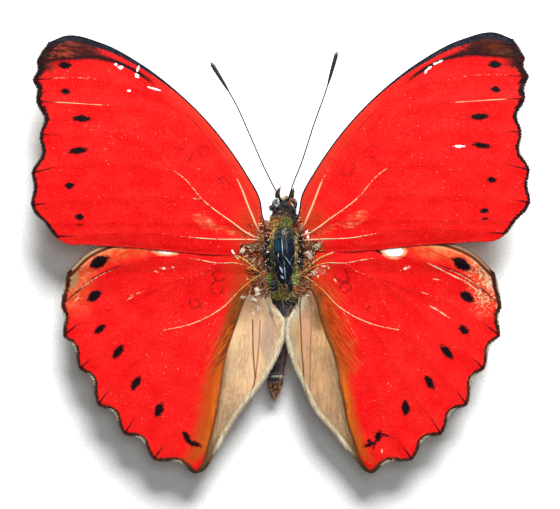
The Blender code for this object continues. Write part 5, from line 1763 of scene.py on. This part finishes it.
def make_legs(rng, finish, coat):
    """Legs through hip, knee, ankle and toe: thigh and shin swell, and the foot is jointed."""
    for kind, joints in LEGS.items():
        for side, sign in (("left", -1), ("right", 1)):
            knots = np.array(joints) * np.array([sign, 1, 1]) + np.array([BODY_X, 0, 0])
            path, radius = [], []
            girths = ((0.36, 0.24), (0.24, 0.17), (0.15, 0.11))
            for part, (start, end, (near, far)) in enumerate(zip(knots[:-1], knots[1:], girths)):
                t = np.linspace(0, 1, 46)[:-1]
                path.append(start + t[:, None] * (end - start))
                swell = 0.05 * np.sin(math.pi * t) if part < 2 else 0.02 * np.sin(math.pi * t * 5) ** 2
                radius.append(near + (far - near) * t + swell)
            path = np.vstack([*path, knots[-1:]])
            radius = np.concatenate([*radius, [0.06]])
            blur = np.ones(5) / 5
            padded = np.vstack([path[:1]] * 2 + [path] + [path[-1:]] * 2)
            path = np.column_stack([np.convolve(padded[:, k], blur, "valid") for k in range(3)])
            rings = tube_rings(path, radius, radius, 14)
            rings[:, :, 2] = np.maximum(rings[:, :, 2], 0)
            make_tube(f"{kind}_{side}_skin", rings, finish, "leg", f"{kind}_{side}")
            long, count = (0.45, 900) if kind == "foreleg" else (0.24, 700)
            reach = 0.97 if kind == "foreleg" else 0.9
            hairs = around_path(rng, path, radius, count, long, 0.018, 0.35, (0.04, reach))
            hairs[0][:, 2] = np.maximum(hairs[0][:, 2], 0.02)
            lay_coat(f"{kind}_{side}_hair", [hairs], coat, "leg")


def plan_tufts(wing, rng, plan, lean, length, width, lift):
    """Hairs that lie on the wing's upper face, pointing the way `lean` gives in plan."""
    count = len(plan)
    roots = wing.lay(plan, MEMBRANE_HALF)
    direction = wing.turn(lean)
    direction[:, 2] = lift * rng.uniform(0.3, 1.5, count)
    top = square_to(direction, [0, 0, 1])
    uv = np.column_stack([0.02 + 0.5 * np.clip(plan[:, 0] / 30, 0, 1),
                          0.02 + 0.9 * np.clip((plan[:, 1] + 30) / 40, 0, 1)])
    return tufts(roots, direction, top, length * rng.uniform(0.6, 1.2, count), width,
                 rng.uniform(0.02, 0.1, count), uv, {"tone": rng.uniform(0, 1, count)})


# Clumps of hair at the wing roots in right-wing plan: x, y, spread, count, paleness
ROOT_CLUMPS = {
    ("fore", "right"): [
        (3.3, 1.2, 0.5, 90, 0.05), (4.8, 1.1, 0.35, 60, 0.6), (4.3, 0.75, 0.6, 60, 0.1),
        (2.6, 3.4, 0.4, 80, 0.1), (3.55, 2.7, 0.2, 24, 1)
    ],
    ("fore", "left"): [
        (3.1, 1.4, 0.5, 90, 0.05), (5.05, 0.98, 0.2, 40, 0.8), (4, 1.2, 0.3, 30, 0.6),
        (2.7, 3.5, 0.4, 80, 0.1), (3.9, 3.2, 0.6, 50, 0.1)
    ],
    ("hind", "right"): [
        (3.8, 0.1, 0.4, 80, 0.75), (3.5, -1.2, 0.5, 90, 0.25), (3.33, -5.5, 0.2, 60, 1),
        (2.9, -3.6, 0.6, 120, 0.1), (2.7, -4.8, 0.5, 80, 0.1), (4.3, -2.4, 0.25, 24, 0.9)
    ],
    ("hind", "left"): [
        (4.4, -0.7, 0.6, 80, 0.3), (3.2, -1.2, 0.5, 90, 0.2), (3.2, -4.6, 0.16, 90, 1),
        (3.05, -5.3, 0.14, 60, 1), (3, -3.4, 0.6, 120, 0.1), (2.4, -4.6, 0.5, 80, 0.1),
        (4.9, -5.7, 0.25, 40, 0.8), (3.5, -6.2, 0.2, 26, 1), (3.1, -7.3, 0.3, 12, 0.9),
        (3.8, -7.8, 0.2, 10, 1)
    ],
}


def root_fur_finish():
    """Hair of the wing roots: black-brown, rust and gold, with cream tufts."""
    f = Finish("root_fur", 0.5, 0.3, sheen=0.15)
    tone, pale = f.fields("tone", "pale")
    f.colour(f.layers(f.mix(tone.rise(0.36, 0.42), (24, 14, 12), (130, 56, 22)), [
        (tone.rise(0.66, 0.72), (208, 122, 48)),
        (pale.rise(0.45, 0.55), (255, 240, 214)),
    ]))
    f.bump(f.noise(14, 2), 0.01, 0.3)
    return f.material


def wing_root_fur(wing, rng, finish):
    """Short mixed hair over the wing's root, thicker in clumps, lying outwards along it."""
    count = 620
    x = 1.6 + rng.gamma(2, 0.5, count)
    low, high, tilt = (0.75, 3.4, 0.1) if wing.kind == "fore" else (-5.6, 0.2, -0.5)
    scattered = np.column_stack([x, rng.uniform(low, high, count)])
    pale = [rng.uniform(0, 0.54, count)]
    plans = [scattered]
    leans = [np.array([0.7, tilt]) + rng.normal(0, 0.5, (count, 2))]
    for x0, y0, spread, number, paleness in ROOT_CLUMPS[(wing.kind, wing.side)]:
        plans.append(np.array([x0, y0]) + rng.normal(0, spread, (number, 2)) * np.array([0.8, 0.7]))
        pale.append(rng.normal(paleness, 0.2, number))
        leans.append(np.array([0.7, tilt]) + rng.normal(0, 0.5, 2) + rng.normal(0, 0.2, (number, 2)))
    plan = np.vstack(plans)
    count = len(plan)
    hairs = plan_tufts(wing, rng, plan, np.vstack(leans), rng.uniform(0.2, 0.62, count), 0.042, 0.25)
    hairs[3]["pale"] = np.repeat(np.concatenate(pale), 7)
    lay_coat(f"root_fur_{wing.kind}_{wing.side}", [hairs], finish, "wing")


def fold_fur(wing, rng, brown, silk):
    """Long brown strands beside the crease, and thin silk over the inner fold."""
    count = 900 if wing.left else 450
    path = np.asarray(wing.veins["anal_2"])
    at = rng.uniform(0.03, 0.42, count)
    plan = read_rows(at, np.linspace(0, 1, len(path)), path)
    plan[:, 0] += rng.uniform(-0.3, 0.8, count)
    lean = np.column_stack([rng.normal(0.95, 0.12, count), np.full(count, -1)])
    strands = plan_tufts(wing, rng, plan, lean, 1.1, 0.02, 0.05)
    lay_coat(f"crease_fur_{wing.side}", [strands], brown, "wing")
    count = 2400
    inner = np.asarray(wing.rear)
    y = rng.uniform(-24, -6.5, count)
    crease_line = np.array(FOLD_LINE[wing.side])
    crease_x = np.interp(-y, -crease_line[:, 1], crease_line[:, 0])
    order = np.argsort(-inner[:, 1])
    rear_x = np.interp(-y, -inner[order, 1], inner[order, 0])
    plan = np.column_stack([rear_x + (crease_x - rear_x) * rng.uniform(0.02, 0.85, count), y])
    lean = np.column_stack([rng.normal(0.1, 0.15, count), np.full(count, -1)])
    silk_hair = plan_tufts(wing, rng, plan, lean, 0.8, 0.01, 0.05)
    lay_coat(f"fold_silk_{wing.side}", [silk_hair], silk, "wing")


def make_wings(rng):
    """All four wings with their veins, fringes and hair."""
    veins = vein_finish()
    fringe = fringe_finish()
    root_fur = root_fur_finish()
    crease = fur_finish("crease_fur", (110, 52, 10), (190, 96, 20), (226, 130, 36), (62, 28, 8))
    silk = fur_finish("fold_silk", (206, 168, 122), (234, 200, 156), (246, 232, 206), (176, 136, 96))
    for kind, make_upper in (("hind", hind_upper), ("fore", fore_upper)):
        under = wing_under(kind)
        for side in ("left", "right"):
            wing = Wing(kind, side)
            make_wing(wing, make_upper(side), under)
            make_veins(wing, veins)
            make_fringe(wing, fringe, rng)
            wing_root_fur(wing, rng, root_fur)
            if kind == "hind":
                fold_fur(wing, rng, crease, silk)


# Soft lights: bearing and elevation in degrees, size in metres, power in watts
LIGHTS = {"window": (78, 38, 0.42, 13.6), "skylight": (60, 80, 0.3, 0.8)}
LIGHT_DISTANCE = 0.7
SKY_COLOUR = (0.97, 1, 1, 1)
SKY_STRENGTH = 0.16
PAPER_HALF = 0.6
PAPER_PLAIN = (0.93, 0.95, 0.94, 1)
PAPER_GREY = (0.72, 0.75, 0.75, 1)
PAPER_SPARK = (1, 1, 1, 1)
CAMERA_PLACE = (-0.0001, -0.000067, 0.406)
CAMERA_LENS = 192.9       # in millimetres, on a frame 36 wide
CAMERA_FRAME = 36


def make_lights():
    """The sky, a broad soft window up and to the right, and a faint skylight overhead."""
    world = bpy.data.worlds.new("sky")
    bpy.context.scene.world = world
    world.use_nodes = True
    sky = world.node_tree.nodes["Background"]
    sky.inputs["Color"].default_value = SKY_COLOUR
    sky.inputs["Strength"].default_value = SKY_STRENGTH
    for name, (bearing, elevation, size, power) in LIGHTS.items():
        light = bpy.data.lights.new(name, "AREA")
        light.shape = "DISK"
        light.size = size
        light.energy = power
        lamp = bpy.data.objects.new(name, light)
        bearing, elevation = math.radians(bearing), math.radians(elevation)
        lamp.location = (LIGHT_DISTANCE * math.cos(elevation) * math.cos(bearing),
                         LIGHT_DISTANCE * math.cos(elevation) * math.sin(bearing),
                         LIGHT_DISTANCE * math.sin(elevation))
        lamp.rotation_euler = (math.pi / 2 - elevation, 0, bearing + math.pi / 2)
        bpy.context.scene.collection.objects.link(lamp)


def make_stage():
    """Pale paper under the butterfly, and the camera straight above it."""
    mesh = bpy.data.meshes.new("paper")
    corners = [(x * PAPER_HALF, y * PAPER_HALF, 0) for x, y in ((-1, -1), (1, -1), (1, 1), (-1, 1))]
    mesh.from_pydata(corners, [], [(0, 1, 2, 3)])
    paper = bpy.data.objects.new("paper", mesh)
    bpy.context.scene.collection.objects.link(paper)
    f = Finish("paper", 0.85, 0.2)
    grain = f.noise(3, 4, 0.8)
    plain = f.mix(grain.rise(0.4, 0.7) * 0.6, PAPER_PLAIN, PAPER_GREY)
    spark = f.cells(1.9).rise(0.2, 0.1) * f.noise(0.9, 2).rise(0.4, 0.6)
    f.colour(f.mix(spark * 0.8, plain, PAPER_SPARK))
    f.bump(grain, 0.12, 0.6)
    mesh.materials.append(f.material)

    camera = bpy.data.cameras.new("camera")
    camera.sensor_width = CAMERA_FRAME
    camera.lens = CAMERA_LENS
    view = bpy.data.objects.new("camera", camera)
    view.location = CAMERA_PLACE
    bpy.context.scene.collection.objects.link(view)
    bpy.context.scene.camera = view
    bpy.context.scene.view_settings.view_transform = "Standard"


def main():
    rng = np.random.default_rng(SEED)
    make_stage()
    make_lights()
    make_wings(rng)
    skin = body_finish()
    make_body(skin)
    make_body_fur(rng)
    make_claspers(rng, skin, body_fur_finish("clasper_fur"))
    make_hinges(hinge_finish())
    make_eyes(rng, eye_finish(), body_fur_finish("eye_lashes"))
    make_antennae(horn_finish())
    core = plain_horn("palp_skin", (84, 40, 20), (146, 82, 46), 0.6)
    coat = fur_finish("palp_fur", (126, 60, 30), (190, 112, 66), (246, 220, 180), (44, 24, 20))
    make_palps(rng, core, coat)
    make_tongue(plain_horn("tongue_skin", (60, 32, 14), (120, 72, 34), 0.4))
    leg_fur = fur_finish("leg_hair", (90, 64, 40), (150, 118, 80), (210, 190, 150), (40, 26, 18))
    make_legs(rng, plain_horn("leg_skin", (66, 42, 24), (128, 94, 62), 0.5), leg_fur)


main()
